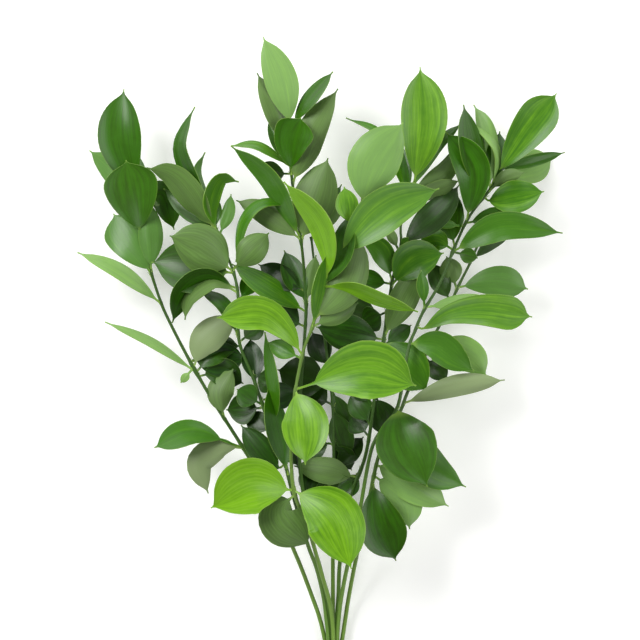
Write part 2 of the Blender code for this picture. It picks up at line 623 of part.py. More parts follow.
def leaf_mesh(shape):
    """A leaf's closed solid as a bmesh."""
    mesh = bmesh.new()
    corners, triangles = shape.solid()
    verts = [mesh.verts.new(corner) for corner in corners]
    for triangle in triangles:
        mesh.faces.new([verts[index] for index in triangle])
    bmesh.ops.recalc_face_normals(mesh, faces=mesh.faces)
    return mesh


def drop_scraps(data):
    """Keeps the largest body of a mesh."""
    mesh = bmesh.new()
    mesh.from_mesh(data)
    left = set(mesh.verts)
    bodies = []
    while left:
        body = {left.pop()}
        edge = list(body)
        while edge:
            edge = [other for vert in edge for other in (link.other_vert(vert) for link in vert.link_edges)
                    if other not in body]
            body.update(edge)
        left -= body
        bodies.append(body)
    keep = max(bodies, key=len)
    bmesh.ops.delete(mesh, geom=[vert for vert in mesh.verts if vert not in keep], context="VERTS")
    mesh.to_mesh(data)
    mesh.free()


def join(piece, leaves):
    """Fuses the leaves into their stem and removes them.

    The MANIFOLD solver joins them, because EXACT leaves holes where thin blades cross at a shallow angle.
    """
    group = bpy.data.collections.new(piece.name + "_leaves")
    bpy.context.scene.collection.children.link(group)
    for part in leaves:
        bpy.context.scene.collection.objects.unlink(part)
        group.objects.link(part)
    union = piece.modifiers.new("leaves", "BOOLEAN")
    union.operation = "UNION"
    union.operand_type = "COLLECTION"
    union.collection = group
    union.solver = "MANIFOLD"
    bpy.context.view_layer.update()
    evaluated = piece.evaluated_get(bpy.context.evaluated_depsgraph_get())
    fused = bpy.data.meshes.new_from_object(evaluated)
    piece.modifiers.clear()
    piece.data = fused
    drop_scraps(fused)
    for part in leaves:
        bpy.data.objects.remove(part)
    bpy.data.collections.remove(group)


def make_tie():
    """A flat band round the bundle, with a flat side down."""
    mesh = bmesh.new()
    rings = []
    for radius, row in ((TIE_INNER, TIE_TOP_ROW), (TIE_HEIGHT, TIE_TOP_ROW),
                        (TIE_HEIGHT, TIE_BOTTOM_ROW), (TIE_INNER, TIE_BOTTOM_ROW)):
        corner_radius = radius / math.cos(math.pi / TIE_SIDES)
        middle = place(MIDDLE_COLUMN, row, TIE_HEIGHT)
        ring = []
        for corner in range(TIE_SIDES):
            angle = math.tau * (corner + 0.5) / TIE_SIDES
            out = Vector((math.cos(angle), 0.0, math.sin(angle)))
            ring.append(mesh.verts.new(middle + out * corner_radius))
        rings.append(ring)
    for ring, after in zip(rings, rings[1:] + rings[:1]):
        for corner in range(TIE_SIDES):
            following = (corner + 1) % TIE_SIDES
            mesh.faces.new((ring[corner], ring[following], after[following], after[corner]))
    bmesh.ops.recalc_face_normals(mesh, faces=mesh.faces)
    return add_object("tie_band", mesh, TIE_COLOUR, TIE_ROUGHNESS)


def make_stem(number, route, shapes):
    """One leafy stem: its stem and its leaves, fused."""
    stem = STEMS[number]
    piece = add_object(stem.name, tube(stem_points(route)), stem.colour, LEAF_ROUGHNESS)
    leaves = [add_object("leaf", leaf_mesh(shape), stem.colour, LEAF_ROUGHNESS)
              for shape in shapes if shape.row.stem == number]
    join(piece, leaves)
    return piece


def centre(pieces):
    """Puts the origin under the middle of the bunch's outline."""
    corners = [vert.co for piece in pieces for vert in piece.data.vertices]
    low, high = bounds(corners)
    shift = Vector((-(low[0] + high[0]) / 2, -(low[1] + high[1]) / 2, -low[2]))
    for piece in pieces:
        for vert in piece.data.vertices:
            vert.co += shift


def main():
    """Clears the scene and builds the bunch."""
    for old in list(bpy.data.objects):
        bpy.data.objects.remove(old)
    routes = [stem_route(stem) for stem in STEMS]
    shapes = settle(routes)
    pieces = [make_stem(number, route, shapes) for number, route in enumerate(routes)]
    pieces.append(make_tie())
    centre(pieces)


main()
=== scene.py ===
"""Looks of a tied bunch of Israeli ruscus that lies on a table, seen from above.

Metres, +Z up. The stems' routes and the leaves' places are those of the part's own solids. Every leaf
is a thin waxy blade on a short stalk, with veins that run along it and meet at its tip.
"""
import math
import random
from collections import namedtuple
from functools import partial

import bmesh
import bpy
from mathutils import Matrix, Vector
from mathutils.bvhtree import BVHTree


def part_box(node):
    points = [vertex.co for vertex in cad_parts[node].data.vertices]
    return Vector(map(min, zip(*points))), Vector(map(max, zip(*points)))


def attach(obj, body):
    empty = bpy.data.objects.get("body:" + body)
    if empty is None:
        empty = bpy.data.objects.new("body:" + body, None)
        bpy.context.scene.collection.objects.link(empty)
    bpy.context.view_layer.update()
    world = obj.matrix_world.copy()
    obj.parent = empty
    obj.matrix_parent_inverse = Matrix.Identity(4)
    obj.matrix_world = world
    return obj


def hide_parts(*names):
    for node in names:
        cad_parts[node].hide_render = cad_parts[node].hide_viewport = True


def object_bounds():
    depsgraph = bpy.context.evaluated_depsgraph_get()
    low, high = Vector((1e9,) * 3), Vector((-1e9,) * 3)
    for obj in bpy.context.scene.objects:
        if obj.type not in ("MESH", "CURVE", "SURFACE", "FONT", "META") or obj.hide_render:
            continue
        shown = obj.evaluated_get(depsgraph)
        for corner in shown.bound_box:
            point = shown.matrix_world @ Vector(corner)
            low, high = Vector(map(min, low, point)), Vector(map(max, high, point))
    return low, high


bl_info = {
    "name": "Ruscus bunch",
    "version": (1, 0, 0),
    "blender": (4, 5, 0),
    "location": "View3D > Sidebar > Ruscus",
    "description": "Models the leaves, stems and tie of a bunch of Israeli ruscus",
    "category": "Object",
}

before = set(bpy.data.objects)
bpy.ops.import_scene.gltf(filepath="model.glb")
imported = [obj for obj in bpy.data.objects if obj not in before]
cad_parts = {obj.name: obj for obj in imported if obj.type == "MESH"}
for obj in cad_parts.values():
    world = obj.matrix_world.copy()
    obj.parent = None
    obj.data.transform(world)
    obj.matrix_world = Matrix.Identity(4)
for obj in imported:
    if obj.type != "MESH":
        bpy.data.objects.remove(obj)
CAD_BOX = [list(corner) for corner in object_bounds()]

# Layout grid
GRID = 0.00085
MIDDLE_COLUMN = 333.5
NECK_ROW = 640
LEVEL_ROW = 470
TIE_TOP_ROW = 661
TIE_BOTTOM_ROW = 672
CUT_ROW = 738

# Stems
STEM_RADIUS = 0.00195
STEM_TIP_RADIUS = 0.0010
STEM_TAPER = 1.5
STEM_SIDES = 6
STEM_STEP = 0.03
CURVE_STEPS = 8
SLOT_RADIUS = 0.0052
SLOT_TURN = math.tau / 7
MIDDLE_LEAN = 0.0012
CUT_SPREAD = 1.2
CUT_SLANT = 0.9
CUT_STAGGER = 0.0035

# Tie
TIE_GAP = 0.0003
TIE_WALL = 0.0014
TIE_INNER = SLOT_RADIUS + STEM_RADIUS + TIE_GAP
TIE_HEIGHT = TIE_INNER + TIE_WALL

# Leaves: stalks are given in grid squares, and stations as shares of the blade's length
LEAF_THICKNESS = 0.0009
STALK_THICKNESS = 0.0016
STALK_HALF_WIDTH = 0.0009
STALK = 7
TIP_HALF_WIDTH = 0.0005
ROOT_BACK = 0.0015
BESIDE = 0.0060
NARROW = 0.0190
LEAF_STEP = 0.002
STATIONS = (0.03, 0.2, 0.48, 0.8, 1.0)
FACET_SPARE = 1.04
NORMAL_REACH = 0.02

# Leaf outline: where it is widest, where the tip starts, and the roundness of both ends
WIDEST = 0.43
SPUR = 0.965
BASE_CURVE = 1.7
BASE_ROUND = 0.8
TIP_CURVE = 2.3
TIP_ROUND = 0.9
TIP_PINCH = 0.30
PINCH_START = 0.75

# Leaf attitude: arch along the blade, twist between root and tip, and tilt of narrow views
ARCH = 0.07
TWIST = 0.55
TWIST_TURN = 2.4
FOLD_START = 4.0
LEAF_RATIO = 0.40
LEAST_TILT = 0.2
MOST_TILT = 1.3

# Clearing of leaves from the other stems
CLEARANCE = 0.0006
FLOOR_GAP = 0.0020
LIFT_STEP = 0.003
LIFT_TRIES = 22
BENDS = (0.0, 0.007, -0.007, 0.014, -0.014)
TILT_SHARES = (1.0, 0.45, 0.0, -0.6)
BEND_COST = 1.5
TILT_COST = 2.0
DOWN_COST = 0.1
SET_DOWN_TURNS = 3

# Fine leaves: rows and lanes of the grid, furrows across a blade, and waves along its edge
ROWS_ALONG = 26
LANES_ACROSS = 10
STALK_ROWS = 0.10
STALK_SWELL = 0.0010
FURROW = 0.00022
FURROWS = 2.2
WAVES = 10.0
WAVE_SLANT = 0.9
WAVE_RANGE = (0.3, 1.0)
WAVE_START = 3.0
WAVE_BREADTH = 1.5

# Bracts: shape as shares of their length, then the foot's distance from the stem's middle and the wall
BRACT_LANES = 2
BRACT_ROWS = 4
BRACT_LOOK = 0.3
BRACT_SHAPE = 0.28
BRACT_TAPER = 0.5
BRACT_LEAN = 0.35
BRACT_CUP = 0.08
BRACT_BELOW = 0.6
BRACT_RANGE = (0.7, 1.2)
BRACT_TONES = (0.5, 0.9)
BRACT_FOOT = 0.0017
BRACT_WALL = 0.00025

# Fine stems
STEM_RIBS = 7
STEM_LANES = 14
STEM_ROUND = 0.97
STEM_ROW_STEP = 0.0045
KNOT_LENGTH = 0.0025
SEAM = 1e-6
STEM_EDGE = math.radians(50.0)

# Material slots of a leafy stem after its first, which is the upper side of its leaves
LOWER, MARGIN, BARK, PITH = range(1, 5)

# Rubber band: the share of its height that a turn fills, and its rounded edges as a share of its wall
BAND_FILL = 0.92
BAND_ROUND = 0.3
BAND_SEGMENTS = 3
BAND_STEPS = 64
BAND_EDGE = math.radians(60.0)

# Patterns, in cells a metre: mottling of about 7 mm and wandering of veins of 17 mm, flecks of bark of
# 2.5 mm, fibres of pith of 0.4 mm, powder on rubber of 1.1 mm, and grain of the floor of 3.3 mm
MOTTLE_SCALE = 150.0
WANDER_SCALE = 60.0
FLECK_SCALE = 400.0
FIBRE_SCALE = 2600.0
POWDER_SCALE = 900.0
GRAIN_SCALE = 300.0

# Veins across a blade and how far they wander, how often streaks change across and along a blade and from
# leaf to leaf, and how much mottling and streaks change a leaf's brightness
VEIN_COUNT = 15
VEIN_WANDER = 0.08
STREAKS_ACROSS = 11.0
STREAKS_ALONG = 1.3
STREAKS_APART = 50.0
MOTTLE_SHARE = 0.12
STREAK_SHARE = 0.75

# Where the stalk's colour fades along a leaf, its tip's begins, and its rim's begins from the middle out
STALK_FADE = (0.04, 0.14)
TIP_FADE = (0.955, 0.995)
RIM_FADE = (0.470, 0.496)
LOWER_RIM_FADE = (0.468, 0.496)

# Depth of the finest relief of leaves and bark, of pith, and of rubber
SKIN_RELIEF = 0.00008
PITH_RELIEF = 0.0001
RUBBER_RELIEF = 0.00005

# A Map Range node that rises smoothly from 0 to 1
SMOOTH = {"interpolation_type": "SMOOTHSTEP"}

# Stage
PICTURE_SIDE = 640
SENSOR = 36.0
FOCUS_HEIGHT = 0.060
CAMERA_REACH = 20.0
FLOOR_SIZE = 6.0
FLOOR_GAP_UNDER = 0.0002
LIGHT_SIZE = 1.2
# Each light's name, place and share of the key light's power
LIGHTS = (("key", (-1.3, 0.9, 1.5), 1.0), ("right_fill", (1.4, 0.2, 1.4), 0.40),
          ("far_fill", (0.1, 1.8, 1.1), 0.36), ("near_fill", (0.2, -1.7, 1.3), 0.27))

# A stem: its place in the tied bundle, its height over the table midway and at its end, and its route
Stem = namedtuple("Stem", "name slot level end keys")
# A leaf: the number of its stem, where it leaves it, its tip, seen width and tone, the lift of its tip, its
# tilt, the places that it passes, whether it rests on the table, where it is widest, and its stalk
Leaf = namedtuple("Leaf", "stem base tip width tone lift tilt via foot widest stalk",
                  defaults=(0.0, 0, (), False, WIDEST, STALK))
Tone = namedtuple("Tone", "lift fold flat look")

# The tones that leaves are seen in, those in front first: how far the tip stands over the root, how far
# the two halves rise from the midrib, whether a blade so deep in the bunch is left flat across, and its
# brightness, yellowness and paleness from 0 to 1. The brightness is partly the leaf's age and partly painted
# light and shade: painted shade on the dark and deep leaves inside the bunch, painted light on the bright
# ones in front. The paleness is partly a matt bloom and partly a painted sheen.
TONES = {
    "bright": Tone(0.014, 0.22, False, (0.80, 0.85, 0.05)),
    "fresh": Tone(0.010, 0.25, False, (0.66, 0.50, 0.15)),
    "mid": Tone(0.004, 0.25, False, (0.54, 0.42, 0.05)),
    "rich": Tone(0.004, 0.25, False, (0.34, 0.35, 0.0)),
    "under": Tone(0.0, -0.3, False, (0.45, 0.30, 0.15)),
    "silver": Tone(0.0, -0.3, False, (0.70, 0.30, 0.90)),
    "pale": Tone(-0.004, -0.15, False, (0.72, 0.50, 1.00)),
    "dull": Tone(-0.004, -0.15, False, (0.52, 0.30, 0.36)),
    "dark": Tone(-0.008, 0.25, True, (0.24, 0.22, 0.05)),
    "deep": Tone(-0.012, 0.2, True, (0.08, 0.12, 0.0)),
}

# Tones of leaves that show their lower side
UNDERSIDES = ("under", "silver")
# How far a leaf's look may stray from its tone's, and the first seed of the stems' random draws
LOOK_SPREAD = 0.08
SEED = 11

STEMS = (
    Stem("leafy_stem_far_left", 4, 0.050, 0.036, ((324, 640), (319, 620), (312, 600), (301, 570), (292, 548),
         (268, 490), (247, 455), (228, 425), (213, 402), (200, 380), (193, 368), (178, 340), (166, 316),
         (160, 302), (151, 275), (148, 262), (140, 236), (136, 205), (134, 190))),
    Stem("leafy_stem_left", 3, 0.068, 0.060, ((328, 640), (326, 620), (323.5, 600), (316.5, 570),
         (307.5, 545), (293, 495), (284, 460), (270, 425), (254, 380), (248, 365), (239, 340), (238, 295),
         (232, 268), (218, 235), (215, 228))),
    Stem("leafy_stem_centre_back", 5, 0.042, 0.062, ((330.5, 640), (329, 620), (327, 600), (320, 570),
         (312, 540), (300, 470), (300, 400), (305, 330), (306, 300), (304, 270), (301, 241), (297, 215),
         (292, 180), (291, 165), (291, 125))),
    Stem("leafy_stem_front", 2, 0.090, 0.092, ((333.5, 640), (332, 620), (328.5, 600), (320, 570), (309, 530),
         (294, 489), (291, 440), (293, 410), (296, 387), (303, 352), (308, 338), (313, 325), (318, 300),
         (324, 285), (331, 274), (338, 256), (350, 230), (361, 205))),
    Stem("leafy_stem_centre", 0, 0.026, 0.030, ((333, 640), (333, 600), (333, 550), (334, 480), (333, 410),
         (329, 370), (322, 320), (315, 270), (311, 236))),
    Stem("leafy_stem_centre_right", 6, 0.040, 0.050, ((336, 640), (337, 620), (338.5, 600), (340.5, 560),
         (350, 500), (366, 455), (376, 390), (384, 340), (387, 312), (391, 290), (393, 278), (401, 245),
         (401, 225), (408, 200), (415, 181))),
    Stem("leafy_stem_right", 1, 0.074, 0.040, ((337.5, 640), (339, 620), (341.5, 600), (347, 570), (358, 520),
         (371, 450), (385, 425), (398, 405), (408, 350), (415, 331), (423, 312), (440, 283), (455, 247),
         (468, 219), (482, 200), (490, 190), (496, 180), (500, 165))),
    Stem("leafy_stem_far_right", 7, 0.056, 0.034, ((343, 640), (346, 620), (349, 600), (356, 562), (368, 505),
         (379, 455), (392, 430), (404, 403), (407, 394), (425, 355), (436, 333), (447, 312), (459, 286),
         (473, 258), (486, 225), (493, 207))),
)
# Painted light on each stem's skin near its cut end: strong on the lit stems in front and weak on the shaded
# ones at the back
STEM_PAINTED_LIGHT = (0.75, 0.35, 0.15, 1.5, 0.8, 0.35, 0.6, 0.85)

FAR_LEFT = (
    Leaf(0, (240, 448), (208, 494), 26, "silver", via=[(220, 448), (199, 464)]),
    Leaf(0, (241, 447), (154, 448), 25, "mid", tilt=1, via=[(192, 432)], stalk=24, widest=0.55),
    Leaf(0, (223, 417), (233, 369), 26, "under", tilt=-1, via=[(220, 392)]),
    Leaf(0, (197, 375), (243, 384), 30, "dark", via=[(220, 373)]),
    Leaf(0, (193, 371), (104, 322), 9, "pale", tilt=1, via=[(150, 342)]),
    Leaf(0, (193, 366), (180, 383), 8, "pale"),
    Leaf(0, (195, 371), (240, 346), 26, "dark", tilt=-1, via=[(217, 349)]),
    Leaf(0, (188, 360), (246, 358), 34, "deep", lift=-0.008),
    Leaf(0, (193, 366), (236, 316), 31, "silver", lift=0.008, tilt=-1, via=[(205, 340)]),
    Leaf(0, (160, 302), (76, 252), 15, "pale", tilt=1, via=[(119, 271)]),
    Leaf(0, (150, 273), (112, 213), 42, "dull", lift=-0.010, widest=0.68),
    Leaf(0, (150, 270), (148, 200), 24, "dull", via=[(150, 238)]),
    Leaf(0, (190, 362), (214, 332), 26, "dull", lift=-0.010),
    Leaf(0, (139, 233), (126, 160), 52, "rich", lift=0.022, widest=0.62),
    Leaf(0, (136, 205), (86, 148), 25, "dull", via=[(112, 170)], foot=True),
    Leaf(0, (134, 190), (123, 88), 42, "rich", lift=0.006, via=[(119, 138)], widest=0.5),
    Leaf(0, (140, 205), (134, 150), 20, "dull", lift=-0.016),
    Leaf(0, (138, 205), (173, 229), 27, "rich", lift=-0.006, via=[(161, 193)]),
)
LEFT = (
    Leaf(1, (275, 465), (241, 425), 25, "dark", lift=-0.006),
    Leaf(1, (287, 472), (268, 385), 22, "rich", lift=-0.002, tilt=1),
    Leaf(1, (266, 405), (226, 410), 30, "deep"),
    Leaf(1, (266, 402), (237, 389), 24, "dark", lift=0.004),
    Leaf(1, (276, 410), (265, 332), 12, "mid", tilt=-1),
    Leaf(1, (252, 372), (278, 384), 26, "dark"),
    Leaf(1, (240, 335), (199, 290), 14, "dark", tilt=1, via=[(224, 305)]),
    Leaf(1, (238, 291), (185, 320), 18, "under", tilt=1, via=[(214, 281), (190, 297)]),
    Leaf(1, (236, 287), (172, 323), 24, "dark", tilt=-1, via=[(208, 279), (184, 293)]),
    Leaf(1, (232, 272), (151, 262), 52, "dark", lift=-0.012, via=[(188, 266)]),
    Leaf(1, (232, 270), (170, 236), 46, "under", lift=0.012, via=[(200, 247)]),
    Leaf(1, (234, 268), (269, 233), 28, "under"),
    Leaf(1, (212, 228), (147, 168), 27, "under", lift=0.010, tilt=-1, via=[(177, 179)]),
    Leaf(1, (214, 232), (163, 188), 20, "dark", lift=-0.016),
    Leaf(1, (216, 230), (211, 192), 16, "dark"),
    Leaf(1, (217, 230), (239, 182), 16, "mid", via=[(211, 205), (221, 180)], tilt=1),
    Leaf(1, (218, 235), (231, 194), 13, "dull", via=[(228, 214)]),
    Leaf(1, (213, 225), (195, 107), 15, "rich", tilt=-1, via=[(193, 183), (180, 150), (186, 126)]),
    Leaf(1, (216, 226), (205, 152), 10, "dull", tilt=1, via=[(203, 196), (197, 172)]),
    Leaf(1, (214, 226), (176, 158), 12, "dark", lift=-0.014),
    Leaf(1, (240, 300), (258, 270), 18, "dark"),
    Leaf(1, (254, 385), (250, 338), 22, "deep"),
    Leaf(1, (272, 432), (246, 414), 22, "deep"),
    Leaf(1, (262, 398), (296, 392), 26, "deep"),
    Leaf(1, (241, 340), (264, 322), 20, "deep"),
)
CENTRE_BACK = (
    Leaf(2, (303, 310), (232, 264), 22, "mid", tilt=1),
    Leaf(2, (301, 325), (255, 302), 40, "deep"),
    Leaf(2, (305, 302), (284, 250), 24, "dark"),
    Leaf(2, (299, 238), (236, 200), 23, "under", lift=-0.006, via=[(267, 214)]),
    Leaf(2, (290, 205), (236, 262), 11, "mid", tilt=1, via=[(264, 203), (244, 222)]),
    Leaf(2, (299, 237), (231, 146), 19, "mid", lift=0.012, tilt=-1, via=[(270, 181)]),
    Leaf(2, (301, 240), (328, 158), 42, "under", lift=0.004),
    Leaf(2, (291, 172), (252, 173), 24, "deep"),
    Leaf(2, (288, 165), (231, 146), 9, "mid", tilt=1, via=[(258, 146)]),
    Leaf(2, (294, 182), (338, 89), 30, "under", lift=0.006, via=[(312, 131)], widest=0.34),
    Leaf(2, (292, 172), (301, 118), 38, "rich", lift=0.016, via=[(292, 142)], widest=0.68),
    Leaf(2, (289, 150), (257, 73), 22, "under", tilt=1, via=[(274, 108)]),
    Leaf(2, (294, 124), (333, 72), 15, "rich", tilt=-1, via=[(310, 99)]),
    Leaf(2, (291, 125), (263, 37), 32, "pale", lift=0.004, via=[(281, 80)]),
    Leaf(2, (289, 165), (268, 118), 16, "dark"),
    Leaf(2, (305, 302), (316, 255), 16, "under"),
    Leaf(2, (302, 290), (258, 264), 24, "deep"),
    Leaf(2, (300, 470), (284, 436), 20, "deep"),
    Leaf(2, (305, 500), (312, 462), 20, "deep"),
)
FRONT = (
    Leaf(3, (292, 488), (212, 506), 54, "bright", lift=0.018, via=[(252, 484)]),
    Leaf(3, (294, 487), (351, 566), 55, "bright", lift=0.020, via=[(332, 515)]),
    Leaf(3, (292, 492), (309, 544), 50, "under", lift=-0.004, via=[(281, 512)], stalk=8, widest=0.4),
    Leaf(3, (291, 387), (305.5, 463), 45, "bright", lift=0.016, via=[(305, 420)], stalk=4),
    Leaf(3, (296, 387), (415, 385), 56, "fresh", lift=0.020, via=[(364, 369)], stalk=20, widest=0.52),
    Leaf(3, (298, 352), (218, 318), 33, "bright", lift=0.012, via=[(286, 330), (261, 313)], widest=0.64),
    Leaf(3, (324, 285), (417, 312), 14, "bright", lift=0.016, tilt=1, via=[(350, 288), (380, 300)]),
    Leaf(3, (314, 318), (362, 237), 38, "under", lift=-0.004, via=[(344, 285)]),
    Leaf(3, (326, 280), (284, 183), 22, "bright", lift=0.010, tilt=-1, via=[(328, 255), (317, 221)]),
    Leaf(3, (314, 325), (326, 255), 14, "mid", tilt=1),
    Leaf(3, (325, 288), (349, 214), 24, "rich", lift=-0.006, tilt=-1, via=[(341, 250)]),
    Leaf(3, (313, 325), (358, 303), 20, "under", lift=-0.010),
    Leaf(3, (340, 254), (438, 190), 42, "fresh", lift=0.010, via=[(386, 210)]),
    Leaf(3, (352, 228), (344, 188), 22, "fresh", lift=0.006),
    Leaf(3, (300, 356), (268, 342), 18, "mid", lift=-0.010),
    Leaf(3, (361, 205), (402, 125), 49, "pale", lift=0.016, via=[(373, 164)]),
)
CENTRE = (
    Leaf(4, (329, 385), (277, 370), 42, "deep", lift=0.002),
    Leaf(4, (329, 368), (312, 332), 24, "deep"),
    Leaf(4, (333, 405), (349, 461), 24, "dark"),
    Leaf(4, (335, 388), (351, 430), 16, "dark"),
    Leaf(4, (326, 445), (296, 458), 22, "dark"),
    Leaf(4, (311, 236), (346, 190), 20, "under"),
    Leaf(4, (311, 236), (342, 183), 14, "dark", lift=-0.010),
    Leaf(4, (318, 300), (380, 318), 34, "deep"),
    Leaf(4, (334, 470), (364, 438), 20, "deep"),
    Leaf(4, (334, 512), (316, 478), 24, "dark"),
    Leaf(4, (333, 404), (300, 388), 32, "deep"),
    Leaf(4, (333, 440), (352, 472), 22, "deep"),
)
CENTRE_RIGHT = (
    Leaf(5, (366, 470), (340, 500), 20, "dark"),
    Leaf(5, (372, 425), (352, 392), 24, "dark"),
    Leaf(5, (385, 340), (428, 391), 44, "mid", lift=0.004, stalk=3),
    Leaf(5, (384, 338), (316, 327), 36, "dark", lift=0.006),
    Leaf(5, (386, 335), (423, 262), 28, "under", lift=0.006),
    Leaf(5, (391, 282), (350, 276), 20, "dark"),
    Leaf(5, (394, 279), (361, 238), 22, "mid", via=[(381, 250)]),
    Leaf(5, (392, 284), (444, 253), 38, "mid", lift=0.008, via=[(413, 261)]),
    Leaf(5, (400, 250), (387, 226), 10, "under"),
    Leaf(5, (401, 252), (412, 238), 14, "mid"),
    Leaf(5, (404, 243), (460, 184), 28, "deep", tilt=-1, via=[(442, 208)]),
    Leaf(5, (408, 199), (460, 180), 16, "under", tilt=1),
    Leaf(5, (415, 181), (420, 67), 45, "fresh", lift=0.010, via=[(424, 122)], widest=0.54),
    Leaf(5, (408, 192), (398, 140), 15, "dark"),
    Leaf(5, (408, 196), (346, 117), 9, "mid", tilt=1, lift=-0.006, via=[(382, 136)]),
    Leaf(5, (362, 478), (294, 467), 26, "under", tilt=1, via=[(330, 472)], widest=0.36),
    Leaf(5, (376, 392), (390, 438), 28, "deep"),
    Leaf(5, (374, 405), (356, 378), 24, "deep"),
    Leaf(5, (359, 476), (328, 494), 26, "dark"),
    Leaf(5, (371, 436), (352, 416), 24, "deep"),
    Leaf(5, (388, 310), (362, 324), 26, "deep"),
    Leaf(5, (385, 345), (412, 325), 18, "dark", lift=-0.010),
    Leaf(5, (412, 186), (463, 122), 13, "dull", via=[(435, 148)]),
    Leaf(5, (412, 190), (457, 146), 20, "under", lift=-0.010, via=[(445, 172)]),
)
RIGHT = (
    Leaf(6, (396, 406), (427, 486), 58, "rich", lift=0.012, via=[(405, 442)], stalk=3, widest=0.38),
    Leaf(6, (395, 425), (466, 487), 38, "mid", lift=-0.008, via=[(429, 467)]),
    Leaf(6, (411, 342), (474, 371), 30, "mid", tilt=1, via=[(436, 345), (457, 360)], stalk=3),
    Leaf(6, (427, 308), (421, 270), 12, "mid", tilt=1),
    Leaf(6, (427, 306), (491, 297), 14, "pale", tilt=-1, lift=-0.006),
    Leaf(6, (425, 328), (532, 317), 33, "fresh", lift=0.006, via=[(450, 314), (485, 310)], widest=0.78),
    Leaf(6, (454, 248), (419, 246), 24, "mid", lift=-0.006, via=[(437, 241)]),
    Leaf(6, (456, 251), (563, 233), 28, "mid", lift=0.004, via=[(502, 226)], widest=0.38),
    Leaf(6, (468, 218), (446, 132), 34, "rich", lift=0.012, via=[(473, 170)], widest=0.5),
    Leaf(6, (453, 244), (457, 190), 28, "rich", lift=-0.014, via=[(450, 218)]),
    Leaf(6, (468, 222), (520, 212), 20, "dark"),
    Leaf(6, (493, 200), (545, 191), 32, "mid", lift=0.002),
    Leaf(6, (498, 179), (556, 155), 33, "pale", foot=True, via=[(531, 166)], widest=0.6),
    Leaf(6, (500, 172), (557, 93), 38, "mid", lift=0.012, via=[(527, 132)], widest=0.66),
    Leaf(6, (494, 183), (472, 121), 8, "pale", tilt=1, via=[(498, 150)]),
    Leaf(6, (484, 196), (464, 104), 25, "rich", lift=0.004, tilt=1, via=[(470, 138)]),
    Leaf(6, (490, 186), (475, 103), 21, "pale", lift=-0.014, via=[(487, 130)]),
    Leaf(6, (492, 182), (501, 130), 22, "dark"),
    Leaf(6, (500, 168), (567, 151), 12, "mid", lift=-0.014),
    Leaf(6, (464, 224), (433, 222), 9, "mid"),
    Leaf(6, (454, 250), (478, 258), 15, "rich"),
    Leaf(6, (492, 190), (525, 172), 14, "under", lift=0.006, via=[(506, 177)]),
)
FAR_RIGHT = (
    Leaf(7, (367, 478), (396, 561), 44, "rich", lift=0.004, via=[(380, 520)], widest=0.58),
    Leaf(7, (375, 474), (410, 530), 35, "pale", lift=-0.010, via=[(404, 500)]),
    Leaf(7, (383, 468), (449, 507), 34, "pale", lift=-0.008),
    Leaf(7, (405, 402), (505, 380), 21, "silver", lift=0.002, via=[(455, 386)], widest=0.5),
    Leaf(7, (440, 345), (487, 376), 34, "pale", lift=0.006, via=[(470, 357)]),
    Leaf(7, (425, 355), (448, 380), 20, "dark"),
    Leaf(7, (459, 288), (447, 256), 22, "under"),
    Leaf(7, (450, 300), (431, 262), 21, "dark"),
    Leaf(7, (460, 286), (529, 289), 31, "dull", lift=0.002, via=[(497, 281)], widest=0.6),
    Leaf(7, (473, 259), (512, 236), 11, "dark", foot=True, via=[(492, 244)]),
)
LEAVES = FAR_LEFT + LEFT + CENTRE_BACK + FRONT + CENTRE + CENTRE_RIGHT + RIGHT + FAR_RIGHT


def place(column, row, height=0.0):
    """Turns a place on the layout grid to metres."""
    return Vector(((column - MIDDLE_COLUMN) * GRID, (NECK_ROW - row) * GRID, height))


def smooth_step(share):
    """Rises smoothly from 0 to 1 as its value does."""
    share = min(max(share, 0.0), 1.0)
    return share * share * (3.0 - 2.0 * share)


def slot_place(stem):
    """Where a stem lies in the tied bundle, across and up from the bundle's middle."""
    if stem.slot == 0:
        return 0.0, MIDDLE_LEAN
    angle = math.pi / 2 + (stem.slot - 2) * SLOT_TURN
    return SLOT_RADIUS * math.cos(angle), SLOT_RADIUS * math.sin(angle)


def stem_height(stem, row):
    """A stem's height over the table: up from the tie to its own level, then to its end's."""
    start = TIE_HEIGHT + slot_place(stem)[1]
    rise = smooth_step((NECK_ROW - row) / (NECK_ROW - LEVEL_ROW))
    run = max(0.0, (LEVEL_ROW - row) / (LEVEL_ROW - stem.keys[-1][1]))
    return start + (stem.level - start) * rise + (stem.end - stem.level) * run


def smooth_curve(points, steps):
    """Points along a smooth curve through the given ones."""
    ends = [points[0] * 2 - points[1]] + list(points) + [points[-1] * 2 - points[-2]]
    curve = []
    for before, start, end, after in zip(ends, ends[1:], ends[2:], ends[3:]):
        for step in range(steps):
            t = step / steps
            bend = (before * 2 - start * 5 + end * 4 - after) * t * t
            twist = (start * 3 - before - end * 3 + after) * t * t * t
            curve.append(start + ((end - before) * t + bend + twist) * 0.5)
    return curve + [points[-1]]


def spaced(curve, gap):
    """The same curve with points an even gap apart."""
    lengths = [0.0]
    for start, end in zip(curve, curve[1:]):
        lengths.append(lengths[-1] + (end - start).length)
    count = max(2, round(lengths[-1] / gap))
    points = []
    index = 0
    for number in range(count + 1):
        goal = lengths[-1] * number / count
        while index < len(curve) - 2 and lengths[index + 1] < goal:
            index += 1
        share = (goal - lengths[index]) / (lengths[index + 1] - lengths[index])
        points.append(curve[index].lerp(curve[index + 1], share))
    return points


def stem_route(stem):
    """A stem's middle line from its cut end to its top."""
    across, up = slot_place(stem)
    cut = place(MIDDLE_COLUMN, CUT_ROW, TIE_HEIGHT + up * CUT_SPREAD)
    cut += Vector((across * CUT_SPREAD, (stem.slot % 3 - 1) * CUT_STAGGER, 0.0))
    held = [place(MIDDLE_COLUMN, row, TIE_HEIGHT + up) + Vector((across, 0.0, 0.0))
            for row in (TIE_BOTTOM_ROW, TIE_TOP_ROW)]
    free = [place(column, row, stem_height(stem, row)) for column, row in stem.keys]
    return smooth_curve([cut] + held + free, CURVE_STEPS)


